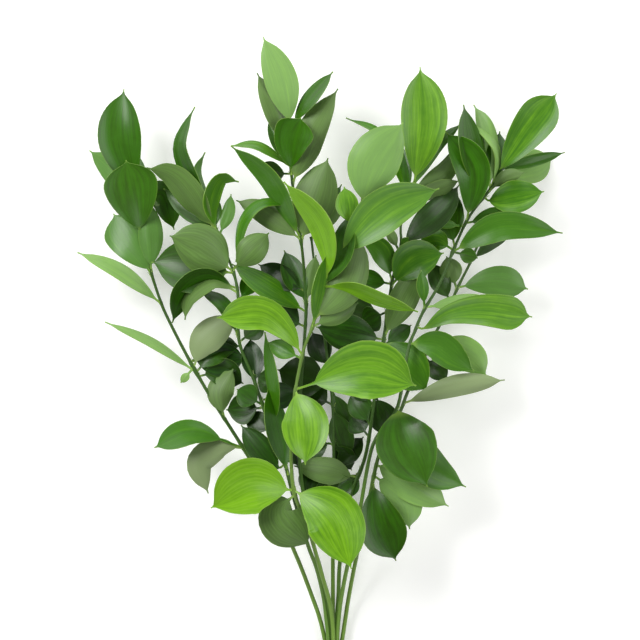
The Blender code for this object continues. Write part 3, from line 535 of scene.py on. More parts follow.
def stem_points(route):
    """The few points that a stem's faceted tube runs through: straight in the tie, then evenly spaced."""
    tied = [route[CURVE_STEPS * number] for number in range(2)]
    return tied + spaced(route[CURVE_STEPS * 2:], STEM_STEP)


def stem_radius(share):
    """Stems thin towards their tops."""
    return STEM_RADIUS + (STEM_TIP_RADIUS - STEM_RADIUS) * share ** STEM_TAPER


def tube(points):
    """A closed stem around a line, cut at a slant below."""
    mesh = bmesh.new()
    side = Vector((1.0, 0.0, 0.0))
    rings = []
    for number, point in enumerate(points):
        ahead = points[min(number + 1, len(points) - 1)] - points[max(number - 1, 0)]
        ahead.normalize()
        side = (side - ahead * side.dot(ahead)).normalized()
        up = side.cross(ahead)
        radius = stem_radius(number / (len(points) - 1))
        ring = []
        for corner in range(STEM_SIDES):
            angle = math.tau * corner / STEM_SIDES
            offset = (side * math.cos(angle) + up * math.sin(angle)) * radius
            if number == 0:
                offset += ahead * (offset.dot(up) * CUT_SLANT)
            ring.append(mesh.verts.new(point + offset))
        rings.append(ring)
    mesh.faces.new(rings[0])
    mesh.faces.new(list(reversed(rings[-1])))
    for lower, upper in zip(rings, rings[1:]):
        for corner in range(STEM_SIDES):
            following = (corner + 1) % STEM_SIDES
            mesh.faces.new((lower[corner], upper[corner], upper[following], lower[following]))
    bmesh.ops.recalc_face_normals(mesh, faces=mesh.faces)
    return mesh


def outline(share, widest):
    """A blade's half width along it, as a share of the widest: a tapered base, then round shoulders."""
    if share < widest:
        return (1.0 - ((widest - share) / widest) ** BASE_CURVE) ** BASE_ROUND
    run = min((share - widest) / (SPUR - widest), 1.0)
    pinch = TIP_PINCH * smooth_step((run - PINCH_START) / (1.0 - PINCH_START))
    return (1.0 - run ** TIP_CURVE) ** TIP_ROUND * (1.0 - pinch)


def nearest(route, goal):
    """The point of a route that lies nearest to a place seen from above, and the way it runs there."""
    best = None
    for start, end in zip(route, route[1:]):
        line = end.xy - start.xy
        share = min(max((goal.xy - start.xy).dot(line) / line.length_squared, 0.0), 1.0)
        point = start.lerp(end, share)
        gap = (point.xy - goal.xy).length
        if best is None or gap < best[0]:
            best = (gap, point, (end - start).normalized())
    return best[1:]


class LeafShape:
    """A leaf with its root on its stem and its attitude: tip lift, bend and cross tilt."""

    def __init__(self, row, route):
        self.row = row
        base = place(*row.base)
        near, ahead = nearest(route, base)
        self.root = near - ahead * ROOT_BACK
        tip = place(*row.tip)
        line = [self.root.xy.to_3d(), tip]
        line[1:1] = [place(*passed) for passed in row.via]
        if (base.xy - near.xy).length > BESIDE:
            line.insert(1, base)
        self.line = spaced(smooth_curve(line, CURVE_STEPS), LEAF_STEP)
        self.length = sum((end - start).length for start, end in zip(self.line, self.line[1:]))
        self.half = row.width * GRID / 2 * FACET_SPARE
        self.stalk = row.stalk * GRID / self.length
        self.twist = TWIST * math.sin(TWIST_TURN * LEAVES.index(row))
        self.lift = row.lift if row.lift else TONES[row.tone].lift
        self.bend = ARCH * self.length
        self.tilt = row.tilt * self.natural_tilt()
        self.fold = TONES[row.tone].fold

    def natural_tilt(self):
        """How steeply a blade of the usual breadth stands when it is seen this narrow."""
        breadth = LEAF_RATIO * self.length / (2 * self.half)
        return min(MOST_TILT, math.sqrt(max(breadth * breadth - 1.0, LEAST_TILT * LEAST_TILT)))

    def point(self, along, across):
        """A point of the blade's middle surface; along runs 0 to 1, across -1 to 1."""
        goal = along * (len(self.line) - 1)
        index = min(int(goal), len(self.line) - 2)
        middle = self.line[index].lerp(self.line[index + 1], goal - index)
        ahead = (self.line[index + 1] - self.line[index]).normalized()
        side = Vector((-ahead.y, ahead.x, 0.0))
        offset = across * self.half_width(along)
        rise = self.lift * along + self.bend * 4.0 * along * (1.0 - along)
        spread = smooth_step(along * FOLD_START)
        tilt = self.tilt + self.twist * (along - 0.5)
        height = self.root.z + rise + (tilt * offset + self.fold * offset * across) * spread
        return Vector((middle.x, middle.y, height)) + side * offset

    def half_width(self, along):
        """Half the seen width at a place along the leaf: a thin stalk, then the blade."""
        share = (along - self.stalk) / (1.0 - self.stalk)
        if share <= 0.0:
            return STALK_HALF_WIDTH
        narrow = STALK_HALF_WIDTH if share < self.row.widest else TIP_HALF_WIDTH
        return max(narrow, self.half * outline(min(share, 1.0), self.row.widest))

    def solid(self, grow=0.0):
        """Corners and triangles of the closed blade, alike on both faces, grown by a margin."""
        stations = [0.0] + [self.stalk + (1.0 - self.stalk) * share for share in STATIONS]
        flat = self.half < NARROW / 2 or TONES[self.row.tone].flat
        lanes = (-1.0, 1.0) if flat else (-1.0, 0.0, 1.0)
        upper = []
        lower = []
        for along in stations:
            for lane in lanes:
                middle = self.point(along, lane)
                normal = self.normal(along, lane)
                thick = STALK_THICKNESS if along <= self.stalk else LEAF_THICKNESS
                upper.append(middle + normal * (thick / 2 + grow))
                lower.append(middle - normal * (thick / 2 + grow))
        width = len(lanes)
        triangles = []
        under = len(upper)
        for row in range(len(stations) - 1):
            for lane in range(width - 1):
                a = row * width + lane
                b, c, d = a + 1, a + width, a + width + 1
                pair = ((a, b, d), (a, d, c)) if lane % 2 else ((a, b, c), (b, d, c))
                triangles += list(pair)
                triangles += [(u + under, w + under, v + under) for u, v, w in pair]
            for a, b in ((row * width, (row + 1) * width), ((row + 2) * width - 1, (row + 1) * width - 1)):
                triangles += [(a, b, b + under), (a, b + under, a + under)]
        for first, turn in ((0, -1), ((len(stations) - 1) * width, 1)):
            for lane in range(width - 1):
                a, b = (first + lane, first + lane + 1)[::turn]
                triangles += [(a, b, b + under), (a, b + under, a + under)]
        return upper + lower, triangles

    def normal(self, along, lane):
        """The blade's upward normal at a corner."""
        before = max(along - NORMAL_REACH, 0.0)
        after = min(along + NORMAL_REACH, 1.0)
        ahead = self.point(after, 0.0) - self.point(before, 0.0)
        sideways = self.point(along, 1.0) - self.point(along, -1.0)
        normal = ahead.cross(sideways).normalized()
        return normal if normal.z > 0.0 else -normal


def bounds(corners):
    """Lowest and highest corner of a box round some points."""
    low = [min(corner[axis] for corner in corners) for axis in range(3)]
    high = [max(corner[axis] for corner in corners) for axis in range(3)]
    return low, high


class Guard:
    """What the leaves of other stems have to stay clear of."""

    def __init__(self, stem, corners, triangles):
        self.stem = stem
        self.low, self.high = bounds(corners)
        self.tree = BVHTree.FromPolygons([tuple(corner) for corner in corners], triangles)

    def meets(self, other):
        """Whether two solids cross."""
        if any(self.low[axis] > other.high[axis] or self.high[axis] < other.low[axis] for axis in range(3)):
            return False
        return bool(self.tree.overlap(other.tree))


def stem_guard(number, route):
    """The space that a stem takes."""
    mesh = tube(stem_points(route))
    bmesh.ops.triangulate(mesh, faces=mesh.faces)
    corners = [vert.co.copy() for vert in mesh.verts]
    mesh.verts.index_update()
    triangles = [[vert.index for vert in face.verts] for face in mesh.faces]
    mesh.free()
    return Guard(number, corners, triangles)


def attitudes():
    """Changes to a leaf's attitude, the least first: lift, bend and share of tilt."""
    tries = []
    for lift in range(-LIFT_TRIES, LIFT_TRIES + 1):
        for bend_cost, bend in enumerate(BENDS):
            for tilt_cost, share in enumerate(TILT_SHARES):
                cost = abs(lift) + BEND_COST * bend_cost + TILT_COST * tilt_cost + DOWN_COST * (lift < 0)
                tries.append((cost, lift * LIFT_STEP, bend, share))
    return sorted(tries)


def set_down(shape):
    """Brings a leaf's tip down to the table."""
    for _turn in range(SET_DOWN_TURNS):
        low, _high = bounds(shape.solid()[0])
        shape.lift -= low[2]


def settle(routes):
    """Gives each leaf the attitude nearest its own that clears the other stems and their leaves."""
    shapes = [LeafShape(row, routes[row.stem]) for row in LEAVES]
    guards = [stem_guard(number, route) for number, route in enumerate(routes)]
    tries = attitudes()
    tones = list(TONES)
    order = sorted(shapes, key=lambda shape: (not shape.row.foot, tones.index(shape.row.tone)))
    for shape in order:
        if shape.row.foot:
            set_down(shape)
        lift, arch, tilt = shape.lift, shape.bend, shape.tilt
        for _cost, raised, bend, share in (tries if not shape.row.foot else tries[:1]):
            shape.lift, shape.bend, shape.tilt = lift + raised, arch + bend, tilt * share
            grown = Guard(shape.row.stem, *shape.solid(CLEARANCE))
            if grown.low[2] < FLOOR_GAP and not shape.row.foot:
                continue
            if not any(other.stem != grown.stem and grown.meets(other) for other in guards):
                break
        else:
            raise RuntimeError(f"no clear place for leaf {LEAVES.index(shape.row)}")
        guards.append(Guard(shape.row.stem, *shape.solid()))
    return shapes


def linear(code):
    """A colour given as sRGB hex, as linear light with full alpha."""
    parts = [int(code[index:index + 2], 16) / 255 for index in (1, 3, 5)]
    return [part / 12.92 if part <= 0.04045 else ((part + 0.055) / 1.055) ** 2.4 for part in parts] + [1.0]


def colour_property(name, description, code):
    """A colour that a user may change."""
    return bpy.props.FloatVectorProperty(name=name, description=description, subtype="COLOR", size=3,
                                         min=0.0, max=1.0, default=linear(code)[:3])


def length_property(name, description, metres):
    """A length that a user may change."""
    return bpy.props.FloatProperty(name=name, description=description, default=metres, min=0.0,
                                   unit="LENGTH", subtype="DISTANCE", precision=5)


class RuscusLeafSettings(bpy.types.PropertyGroup):
    """Sizes and colours of the leaves."""

    blade: length_property("Blade thickness", "Thickness of the blade between its veins", 0.00045)
    wave: length_property("Edge wave", "How far the edge of a blade waves up and down", 0.0009)
    bract: length_property("Bract length", "Length of the small dry scale at each leaf's foot", 0.0036)
    # The young, fresh and old colours stand partly for age and partly for painted light and shade, and the
    # bloom partly for a painted sheen
    young_and_lit: colour_property("Young leaf", "Upper side of a young leaf in full light", "#69A010")
    fresh: colour_property("Fresh leaf", "Upper side of a leaf of middle age", "#286202")
    old: colour_property("Old leaf", "Upper side of an old leaf", "#0C2A01")
    bloom_and_sheen: colour_property("Pale bloom", "Greyish cast of leaves with a matt bloom", "#8AAD6B")
    underside: colour_property("Underside", "Lower side of a leaf", "#5F8232")
    margin: colour_property("Margin", "Thin pale edge and tip of a leaf", "#94B648")


class RuscusStemSettings(bpy.types.PropertyGroup):
    """Sizes and colours of the stems."""

    rib: length_property("Rib height", "Height of the fine ribs along a stem", 0.00007)
    knot: length_property("Knot", "Swelling of a stem where a leaf leaves it", 0.00030)
    lower: colour_property("Lower stem", "Bark near the cut end", "#557A30")
    upper: colour_property("Upper stem", "Bark among the leaves", "#36561A")
    pith: colour_property("Cut face", "Fresh cut through a stem", "#C9D3A0")


class RuscusTieSettings(bpy.types.PropertyGroup):
    """Sizes and colours of the rubber band."""

    turns: bpy.props.IntProperty(name="Turns", description="Turns of the band round the bundle",
                                 default=4, min=1)
    rubber: colour_property("Rubber", "Natural rubber of the band", "#B98A4E")


class RuscusStageSettings(bpy.types.PropertyGroup):
    """The camera, the floor and the lights."""

    camera_height: length_property("Camera height", "Height of the camera over the table", 4.0)
    floor: colour_property("Floor", "Pale studio floor", "#F4F4F2")
    glow: bpy.props.FloatProperty(name="Floor glow", default=0.22, min=0.0,
                                  description="Faint light from the floor, as of a light table")
    key_power: bpy.props.FloatProperty(name="Key light", description="Power of the large soft light",
                                       default=45.0, min=0.0, unit="POWER")
    sky: bpy.props.FloatProperty(name="Sky", description="Strength of the even light from all round",
                                 default=0.15, min=0.0)


def add_node(material, kind, inputs=(), output=0, **settings):
    """Adds a shader node with its settings, gives each input a value or a link, and returns one output."""
    tree = material.node_tree
    node = tree.nodes.new("ShaderNode" + kind)
    for name, value in settings.items():
        setattr(node, name, value)
    for socket, value in inputs.items() if isinstance(inputs, dict) else enumerate(inputs):
        if isinstance(value, bpy.types.NodeSocket):
            tree.links.new(value, node.inputs[socket])
        else:
            node.inputs[socket].default_value = value
    return node.outputs[output] if node.outputs else None


def new_material(name):
    """An empty node material, and the function that adds a node to it."""
    material = bpy.data.materials.new(name)
    material.use_nodes = True
    material.node_tree.nodes.clear()
    return material, partial(add_node, material)


def painted(add, base, coats):
    """A colour with others laid over it, each where its socket is high and as strong as its share."""
    # A colour Mix node takes its factor and colours at inputs 0, 6 and 7, and gives its result at output 2
    for source, share, colour in coats:
        factor = source if share == 1.0 else add("Math", (source, share), operation="MULTIPLY")
        base = add("Mix", {0: factor, 6: base, 7: colour}, output=2, data_type="RGBA")
    return base


def colour_of(settings, name):
    """A colour property with full alpha."""
    return list(getattr(settings, name)) + [1.0]


def leaf_look(add):
    """A leaf's brightness, partly its age and partly painted light and shade, its yellowness, and its
    paleness, partly bloom and partly painted sheen; on a stem the brightness is painted light.
    """
    return add("SeparateColor", (add("VertexColor", layer_name="look"),)).node.outputs


def blade_pattern(add):
    """What both sides of a blade share: place along it, mottling, veins, gap from its middle and streaks."""
    across, along, _none = add("SeparateXYZ", (add("UVMap", uv_map="blade"),)).node.outputs
    coords = add("TexCoord", output="Object")
    mottle = add("TexNoise", {"Vector": coords, "Scale": MOTTLE_SCALE, "Detail": 3.0})
    # Veins run along the blade and wander a little; drawn 1.5 to 3 mm apart, coarser than life, to show
    wander = add("TexNoise", {"Vector": coords, "Scale": WANDER_SCALE, "Detail": 1.0})
    shifted = add("Math", (wander, VEIN_WANDER, across), operation="MULTIPLY_ADD")
    turns = add("Math", (shifted, math.tau * VEIN_COUNT), operation="MULTIPLY")
    veins = add("MapRange", (add("Math", (turns,), operation="SINE"), 0.2, 1.0), **SMOOTH)
    middle = add("Math", (add("Math", (across, 0.5), operation="SUBTRACT"),), operation="ABSOLUTE")
    # Streaks of lighter and darker green between the veins, other ones on each leaf
    drawn = add("CombineXYZ", [add("Math", (source, share), operation="MULTIPLY") for source, share in (
        (across, STREAKS_ACROSS), (along, STREAKS_ALONG),
        (add("VertexColor", output="Alpha", layer_name="look"), STREAKS_APART))])
    streak = add("TexNoise", {"Vector": drawn, "Scale": 1.0, "Detail": 4.0, "Roughness": 0.7})
    return along, mottle, veins, middle, streak


def leaf_upper(settings):
    """Waxy cuticle of a living leaf: glossy, with sunk veins, a pale rim and older, darker patches; its
    brightness also carries painted light and shade, and its paleness a painted sheen.
    """
    material, add = new_material("leaf_waxy_upper")
    along, mottle, veins, middle, streak = blade_pattern(add)
    bright, yellow, pale = leaf_look(add)
    margin = colour_of(settings, "margin")
    # Youth and painted light: the leaf's brightness, partly its age and partly painted light and shade, lower
    # and higher in patches and streaks; 0 is old and painted deep shade, 0.5 fresh and 1 young and painted
    # full light
    patches = add("Math", (mottle, MOTTLE_SHARE, -(MOTTLE_SHARE + STREAK_SHARE) / 2),
                  operation="MULTIPLY_ADD")
    patches = add("Math", (streak, STREAK_SHARE, patches), operation="MULTIPLY_ADD")
    youth_and_light = add("Math", (bright, patches), operation="ADD")
    # Veins show on young and lit leaves and the rim on bright ones, so both follow the painted light, and the
    # tip and the stalk are pale
    lines = add("Math", (veins, add("MapRange", (youth_and_light, 0.4, 1.1), **SMOOTH)), operation="MULTIPLY")
    rim = add("Math", (bright, add("MapRange", (middle, *RIM_FADE), **SMOOTH)), operation="MULTIPLY")
    stalk = add("Math", (1.0, add("MapRange", (along, *STALK_FADE), **SMOOTH)), operation="SUBTRACT")
    tip = add("MapRange", (along, *TIP_FADE), **SMOOTH)
    ends = add("Math", (tip, stalk), operation="ADD", use_clamp=True)
    # The old, fresh and young colours paint the leaf's shade and light as well as its age, and the bloom
    # colour, laid on by paleness, is partly a painted sheen
    body = painted(add, colour_of(settings, "old"), (
        (add("MapRange", (youth_and_light, 0.0, 0.55), **SMOOTH), 1.0, colour_of(settings, "fresh")),
        (add("MapRange", (youth_and_light, 0.5, 1.0), **SMOOTH), 1.0, colour_of(settings, "young_and_lit")),
        (yellow, 0.10, linear("#9DB81E")),
        (pale, 0.58, colour_of(settings, "bloom_and_sheen")),
        (lines, 0.18, margin),
        (rim, 0.35, margin),
        (ends, 0.4, margin)))
    sunk = add("Math", (veins, -0.5), operation="MULTIPLY")
    height = add("Math", (streak, 3.0, sunk), operation="MULTIPLY_ADD")
    shader = add("BsdfPrincipled", {
        "Base Color": body, "IOR": 1.38, "Specular IOR Level": 0.36,
        "Coat Weight": 0.10, "Coat Roughness": 0.22,
        "Roughness": add("Math", (mottle, 0.14, 0.28), operation="MULTIPLY_ADD"),
        "Normal": add("Bump", {"Strength": 0.5, "Distance": SKIN_RELIEF, "Height": height})})
    add("OutputMaterial", {"Surface": shader})
    return material


def leaf_lower(settings):
    """Duller, greyer underside of a leaf, on which the veins stand out."""
    material, add = new_material("leaf_matt_underside")
    along, mottle, veins, middle, streak = blade_pattern(add)
    bright, _yellow, pale = leaf_look(add)
    margin = colour_of(settings, "margin")
    stalk = add("Math", (1.0, add("MapRange", (along, *STALK_FADE), **SMOOTH)), operation="SUBTRACT")
    # The underside colour comes in by the leaf's brightness, which carries painted light and shade, and the
    # grey by its paleness, partly a painted sheen
    dull = painted(add, linear("#2A4A14"), (
        (bright, 1.0, colour_of(settings, "underside")),
        (add("MapRange", (streak, 0.35, 0.75), **SMOOTH), 1.0, linear("#557C2C")),
        (pale, 0.6, linear("#949F7A")),
        (veins, 0.03, linear("#A9C08C")),
        (add("MapRange", (middle, *LOWER_RIM_FADE), **SMOOTH), 0.15, margin),
        (stalk, 0.5, margin)))
    raised = add("Math", (veins, 0.3), operation="MULTIPLY")
    height = add("Math", (streak, 3.0, raised), operation="MULTIPLY_ADD")
    shader = add("BsdfPrincipled", {
        "Base Color": dull, "IOR": 1.42,
        "Roughness": add("Math", (mottle, 0.12, 0.46), operation="MULTIPLY_ADD"),
        "Normal": add("Bump", {"Strength": 0.5, "Distance": SKIN_RELIEF, "Height": height})})
    add("OutputMaterial", {"Surface": shader})
    return material


def leaf_margin(settings):
    """Cartilage-like rim of a leaf: paler and smooth."""
    material, add = new_material("leaf_pale_margin")
    bright, _yellow, _pale = leaf_look(add)
    coords = add("TexCoord", output="Object")
    mottle = add("TexNoise", {"Vector": coords, "Scale": MOTTLE_SCALE, "Detail": 3.0})
    # The margin colour comes in by the leaf's brightness, which carries painted light and shade
    body = painted(add, linear("#2F5A12"), (
        (bright, 1.0, colour_of(settings, "margin")),
        (mottle, 0.3, linear("#5C8A2C"))))
    shader = add("BsdfPrincipled", {"Base Color": body, "Roughness": 0.4, "IOR": 1.45})
    add("OutputMaterial", {"Surface": shader})
    return material


def stem_bark(settings):
    """Living green stem skin: smooth and finely ribbed, darker among the leaves, with painted light near the
    cut that is strongest on the stems in front.
    """
    material, add = new_material("stem_green_bark")
    around, along, _none = add("SeparateXYZ", (add("UVMap", uv_map="blade"),)).node.outputs
    # The stem's painted light, strong on the stems in front, comes in the look's first channel
    tone, _green, _blue = leaf_look(add)
    coords = add("TexCoord", output="Object")
    fleck = add("TexNoise", {"Vector": coords, "Scale": FLECK_SCALE, "Detail": 4.0})
    # The stem's painted light fades out towards its top, among the leaves
    painted_light_fade = add("MapRange", (along, 0.3, 0.6), **SMOOTH)
    light = add("Math", (painted_light_fade, -0.8, tone), operation="MULTIPLY_ADD", use_clamp=True)
    body = painted(add, colour_of(settings, "lower"), (
        (add("MapRange", (along, 0.16, 0.62), **SMOOTH), 1.0, colour_of(settings, "upper")),
        (light, 0.45, linear("#86A645")),
        (add("MapRange", (fleck, 0.5, 0.8), **SMOOTH), 0.35, linear("#4A6A2C"))))
    # Two fine lines to each rib
    turns = add("Math", (around, math.tau * STEM_RIBS * 2), operation="MULTIPLY")
    height = add("Math", (add("Math", (turns,), operation="SINE"), fleck), operation="ADD")
    shader = add("BsdfPrincipled", {
        "Base Color": body, "Roughness": 0.42, "IOR": 1.45, "Specular IOR Level": 0.35,
        "Normal": add("Bump", {"Strength": 0.4, "Distance": SKIN_RELIEF, "Height": height})})
    add("OutputMaterial", {"Surface": shader})
    return material


def cut_pith(settings):
    """Fresh slanted cut: pale fibres in a moist, matt pith."""
    material, add = new_material("stem_cut_pith")
    dots = add("TexVoronoi", {"Vector": add("TexCoord", output="Object"), "Scale": FIBRE_SCALE})
    fibres = add("MapRange", (dots, 0.1, 0.6), **SMOOTH)
    shader = add("BsdfPrincipled", {
        "Base Color": painted(add, linear("#9DAE6A"), ((fibres, 1.0, colour_of(settings, "pith")),)),
        "Roughness": 0.6, "IOR": 1.4,
        "Normal": add("Bump", {"Strength": 0.5, "Distance": PITH_RELIEF, "Height": dots})})
    add("OutputMaterial", {"Surface": shader})
    return material


def natural_rubber(settings):
    """Natural rubber band: tan, matt and faintly powdered."""
    material, add = new_material("rubber_natural_tan")
    coords = add("TexCoord", output="Object")
    powder = add("TexNoise", {"Vector": coords, "Scale": POWDER_SCALE, "Detail": 5.0})
    shader = add("BsdfPrincipled", {
        "Base Color": painted(add, colour_of(settings, "rubber"), ((powder, 0.35, linear("#D9BC8C")),)),
        "Roughness": 0.62, "IOR": 1.52,
        "Normal": add("Bump", {"Strength": 0.3, "Distance": RUBBER_RELIEF, "Height": powder})})
    add("OutputMaterial", {"Surface": shader})
    return material


def studio_floor(settings):
    """Matt white acrylic of a light table, which glows faintly and so keeps shadows soft."""
    material, add = new_material("floor_white_acrylic")
    grain = add("TexNoise", {"Vector": add("TexCoord", output="Object"), "Scale": GRAIN_SCALE})
    body = painted(add, colour_of(settings, "floor"), ((grain, 0.04, linear("#E6E6E4")),))
    shader = add("BsdfPrincipled", {
        "Base Color": body, "Roughness": 0.9, "Specular IOR Level": 0.1,
        "Emission Color": body, "Emission Strength": settings.glow})
    add("OutputMaterial", {"Surface": shader})
    return material


def frame_shift():
    """From the layout's place of the tie to its place in the frame."""
    low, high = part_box("tie_band")
    middle = (Vector(low) + Vector(high)) / 2
    laid = place(MIDDLE_COLUMN, (TIE_TOP_ROW + TIE_BOTTOM_ROW) / 2, TIE_HEIGHT)
    return middle - laid


def blade_row(number):
    """Where a row of the grid lies along a leaf: a few rows on the stalk, more where the blade turns."""
    share = (number + 1) / 2
    if share < STALK_ROWS:
        return share / STALK_ROWS, 0.0
    share = (share - STALK_ROWS) / (1.0 - STALK_ROWS)
    return 1.0, 0.5 * share + 0.5 * (0.5 - 0.5 * math.cos(math.pi * share))


def fine_point(shape, along, across, wave, phase):
    """A point of the fine blade: the coarse form with a waving edge and soft furrows along it."""
    breadth = min(1.0, shape.half_width(along) / shape.half * WAVE_BREADTH)
    spread = smooth_step(along * WAVE_START) * breadth
    ripple = wave * across * across * math.sin(phase + along * WAVES + across * WAVE_SLANT)
    furrow = FURROW * math.sin(FURROWS * math.pi * across + phase) * math.sin(math.pi * along)
    return shape.point(along, across) + Vector((0.0, 0.0, (ripple + furrow) * spread))


def add_leaf(mesh, layers, shape, draw, settings):
    """Adds one blade to a mesh of blades as a shaped grid."""
    uv, look, group = layers
    wave = settings.wave * draw.uniform(*WAVE_RANGE)
    phase = draw.uniform(0.0, math.tau)
    number = draw.random()
    # The tone's look with a small random spread; its brightness carries painted light and shade, its paleness
    # partly a painted sheen
    tint = [min(1.0, max(0.0, value + draw.uniform(-LOOK_SPREAD, LOOK_SPREAD)))
            for value in TONES[shape.row.tone].look]
    verts = bmesh.ops.create_grid(mesh, x_segments=LANES_ACROSS, y_segments=ROWS_ALONG, size=1.0)["verts"]
    stalk = shape.stalk
    places = {}
    for vert in verts:
        across = vert.co.x
        on_stalk, on_blade = blade_row(vert.co.y)
        along = stalk * on_stalk + (1.0 - stalk) * on_blade
        places[vert] = (across, along)
        vert.co = fine_point(shape, along, across, wave, phase)
        vert[look] = (*tint, number)
        vert[group][0] = 1.0 if along < stalk else settings.blade / STALK_SWELL
    faces = {face for vert in verts for face in vert.link_faces}
    for face in faces:
        face.smooth = True
        for loop in face.loops:
            across, along = places[loop.vert]
            loop[uv].uv = ((across + 1) / 2, along)
    for face in faces:
        face.normal_update()
    up = sum(face.normal.z * face.calc_area() for face in faces)
    if (up < 0.0) != (shape.row.tone in UNDERSIDES):
        bmesh.ops.reverse_faces(mesh, faces=list(faces))


def add_bract(mesh, layers, shape, route, draw, settings):
    """Adds the small dry scale under a leaf's stalk, close to the stem."""
    uv, look, group = layers
    near, ahead = nearest(route, place(*shape.row.base))
    away = shape.point(BRACT_LOOK, 0.0) - shape.root
    away = (away - ahead * away.dot(ahead)).normalized()
    side = ahead.cross(away)
    length = settings.bract * draw.uniform(*BRACT_RANGE)
    made = bmesh.ops.create_grid(mesh, x_segments=BRACT_LANES, y_segments=BRACT_ROWS, size=1.0)
    for vert in made["verts"]:
        across = vert.co.x
        along = (vert.co.y + 1) / 2
        half = BRACT_SHAPE * length * math.sqrt(max(0.0, 1.0 - along)) * (1.0 - BRACT_TAPER * along)
        out = BRACT_FOOT + BRACT_LEAN * length * along * along - BRACT_CUP * length * across * across
        vert.co = near + ahead * (length * (along - BRACT_BELOW)) + side * (across * half) + away * out
        vert[look] = (draw.uniform(*BRACT_TONES), 0.0, 0.0, 1.0)
        vert[group][0] = BRACT_WALL / STALK_SWELL
    for face in {face for vert in made["verts"] for face in vert.link_faces}:
        face.smooth = True
        face.material_index = MARGIN
        for loop in face.loops:
            loop[uv].uv = (0.5, 0.5)


def evaluated_mesh(piece):
    """A copy of a piece's mesh with its modifiers applied."""
    bpy.context.view_layer.update()
    seen = piece.evaluated_get(bpy.context.evaluated_depsgraph_get())
    return bpy.data.meshes.new_from_object(seen)


def link(name, mesh, materials):
    """A new object with a mesh and its material slots."""
    data = bpy.data.meshes.new(name)
    mesh.to_mesh(data)
    mesh.free()
    piece = bpy.data.objects.new(name, data)
    bpy.context.scene.collection.objects.link(piece)
    for material in materials:
        data.materials.append(material)
    return piece


def blades(name, shapes, route, shift, draw, settings, materials):
    """All blades of one stem, given their thickness, as one mesh."""
    mesh = bmesh.new()
    layers = (mesh.loops.layers.uv.new("blade"), mesh.verts.layers.float_color.new("look"),
              mesh.verts.layers.deform.verify())
    for shape in shapes:
        add_leaf(mesh, layers, shape, draw, settings)
        add_bract(mesh, layers, shape, route, draw, settings)
    bmesh.ops.translate(mesh, verts=mesh.verts, vec=shift)
    flat = link(name + "_blades", mesh, materials)
    flat.vertex_groups.new(name="thickness")
    wall = flat.modifiers.new("wall", "SOLIDIFY")
    wall.thickness = STALK_SWELL
    wall.offset = 0.0
    wall.vertex_group = "thickness"
    wall.material_offset = LOWER
    wall.material_offset_rim = MARGIN
    thick = evaluated_mesh(flat)
    bpy.data.objects.remove(flat)
    return thick


def knots(shapes, route):
    """How far along a stem's route each of its leaves leaves it, in metres."""
    lengths = [0.0]
    for start, end in zip(route, route[1:]):
        lengths.append(lengths[-1] + (end - start).length)
    found = []
    for shape in shapes:
        near = min(range(len(route)), key=lambda index: (route[index] - shape.root).length)
        found.append(lengths[near])
    return found, lengths[-1]


def add_stem(mesh, layers, route, shapes, shift, settings):
    """Adds a ribbed, tapering stem with a knot at each leaf and a slanted cut."""
    uv, look = layers
    points = spaced(route, STEM_ROW_STEP)
    rows = len(points) - 1
    places, whole = knots(shapes, route)
    sides = []
    side = Vector((1.0, 0.0, 0.0))
    for number in range(rows + 1):
        ahead = points[min(number + 1, rows)] - points[max(number - 1, 0)]
        ahead.normalize()
        side = (side - ahead * side.dot(ahead)).normalized()
        sides.append((side.copy(), side.cross(ahead), ahead))
    verts = bmesh.ops.create_grid(mesh, x_segments=STEM_LANES, y_segments=rows, size=1.0)["verts"]
    at = {}
    # Painted light of the stem, strong on the stems in front
    tone = STEM_PAINTED_LIGHT[shapes[0].row.stem]
    for vert in verts:
        turn = (vert.co.x + 1) / 2
        number = round((vert.co.y + 1) / 2 * rows)
        share = number / rows
        radius = stem_radius(share) * STEM_ROUND
        swell = sum(math.exp(-((share * whole - spot) / KNOT_LENGTH) ** 2) for spot in places)
        radius += settings.knot * swell
        angle = math.tau * turn
        radius += settings.rib * math.cos(angle * STEM_RIBS)
        across, up, ahead = sides[number]
        offset = (across * math.cos(angle) + up * math.sin(angle)) * radius
        if number == 0:
            offset += ahead * (offset.dot(up) * CUT_SLANT)
        vert.co = points[number] + offset + shift
        vert[look] = (tone, 0.0, 0.0, 1.0)
        at[vert] = (turn, share, number)
    faces = {face for vert in verts for face in vert.link_faces}
    for face in faces:
        face.smooth = True
        face.material_index = BARK
        for loop in face.loops:
            loop[uv].uv = at[loop.vert][:2]
    ends = [[vert for vert in verts if at[vert][2] == number] for number in (0, rows)]
    bmesh.ops.remove_doubles(mesh, verts=verts, dist=SEAM)
    for ring in ends:
        edges = {edge for vert in ring if vert.is_valid for edge in vert.link_edges if edge.is_boundary}
        made = bmesh.ops.contextual_create(mesh, geom=list(edges))
        for face in made["faces"]:
            face.material_index = PITH
            faces.add(face)
    bmesh.ops.recalc_face_normals(mesh, faces=[face for face in faces if face.is_valid])


def keep_inside(mesh):
    """Brings the few corners that wave out of the solids' own box back to its sides."""
    low, high = CAD_BOX
    for vert in mesh.verts:
        vert.co = [min(max(value, low[axis]), high[axis]) for axis, value in enumerate(vert.co)]


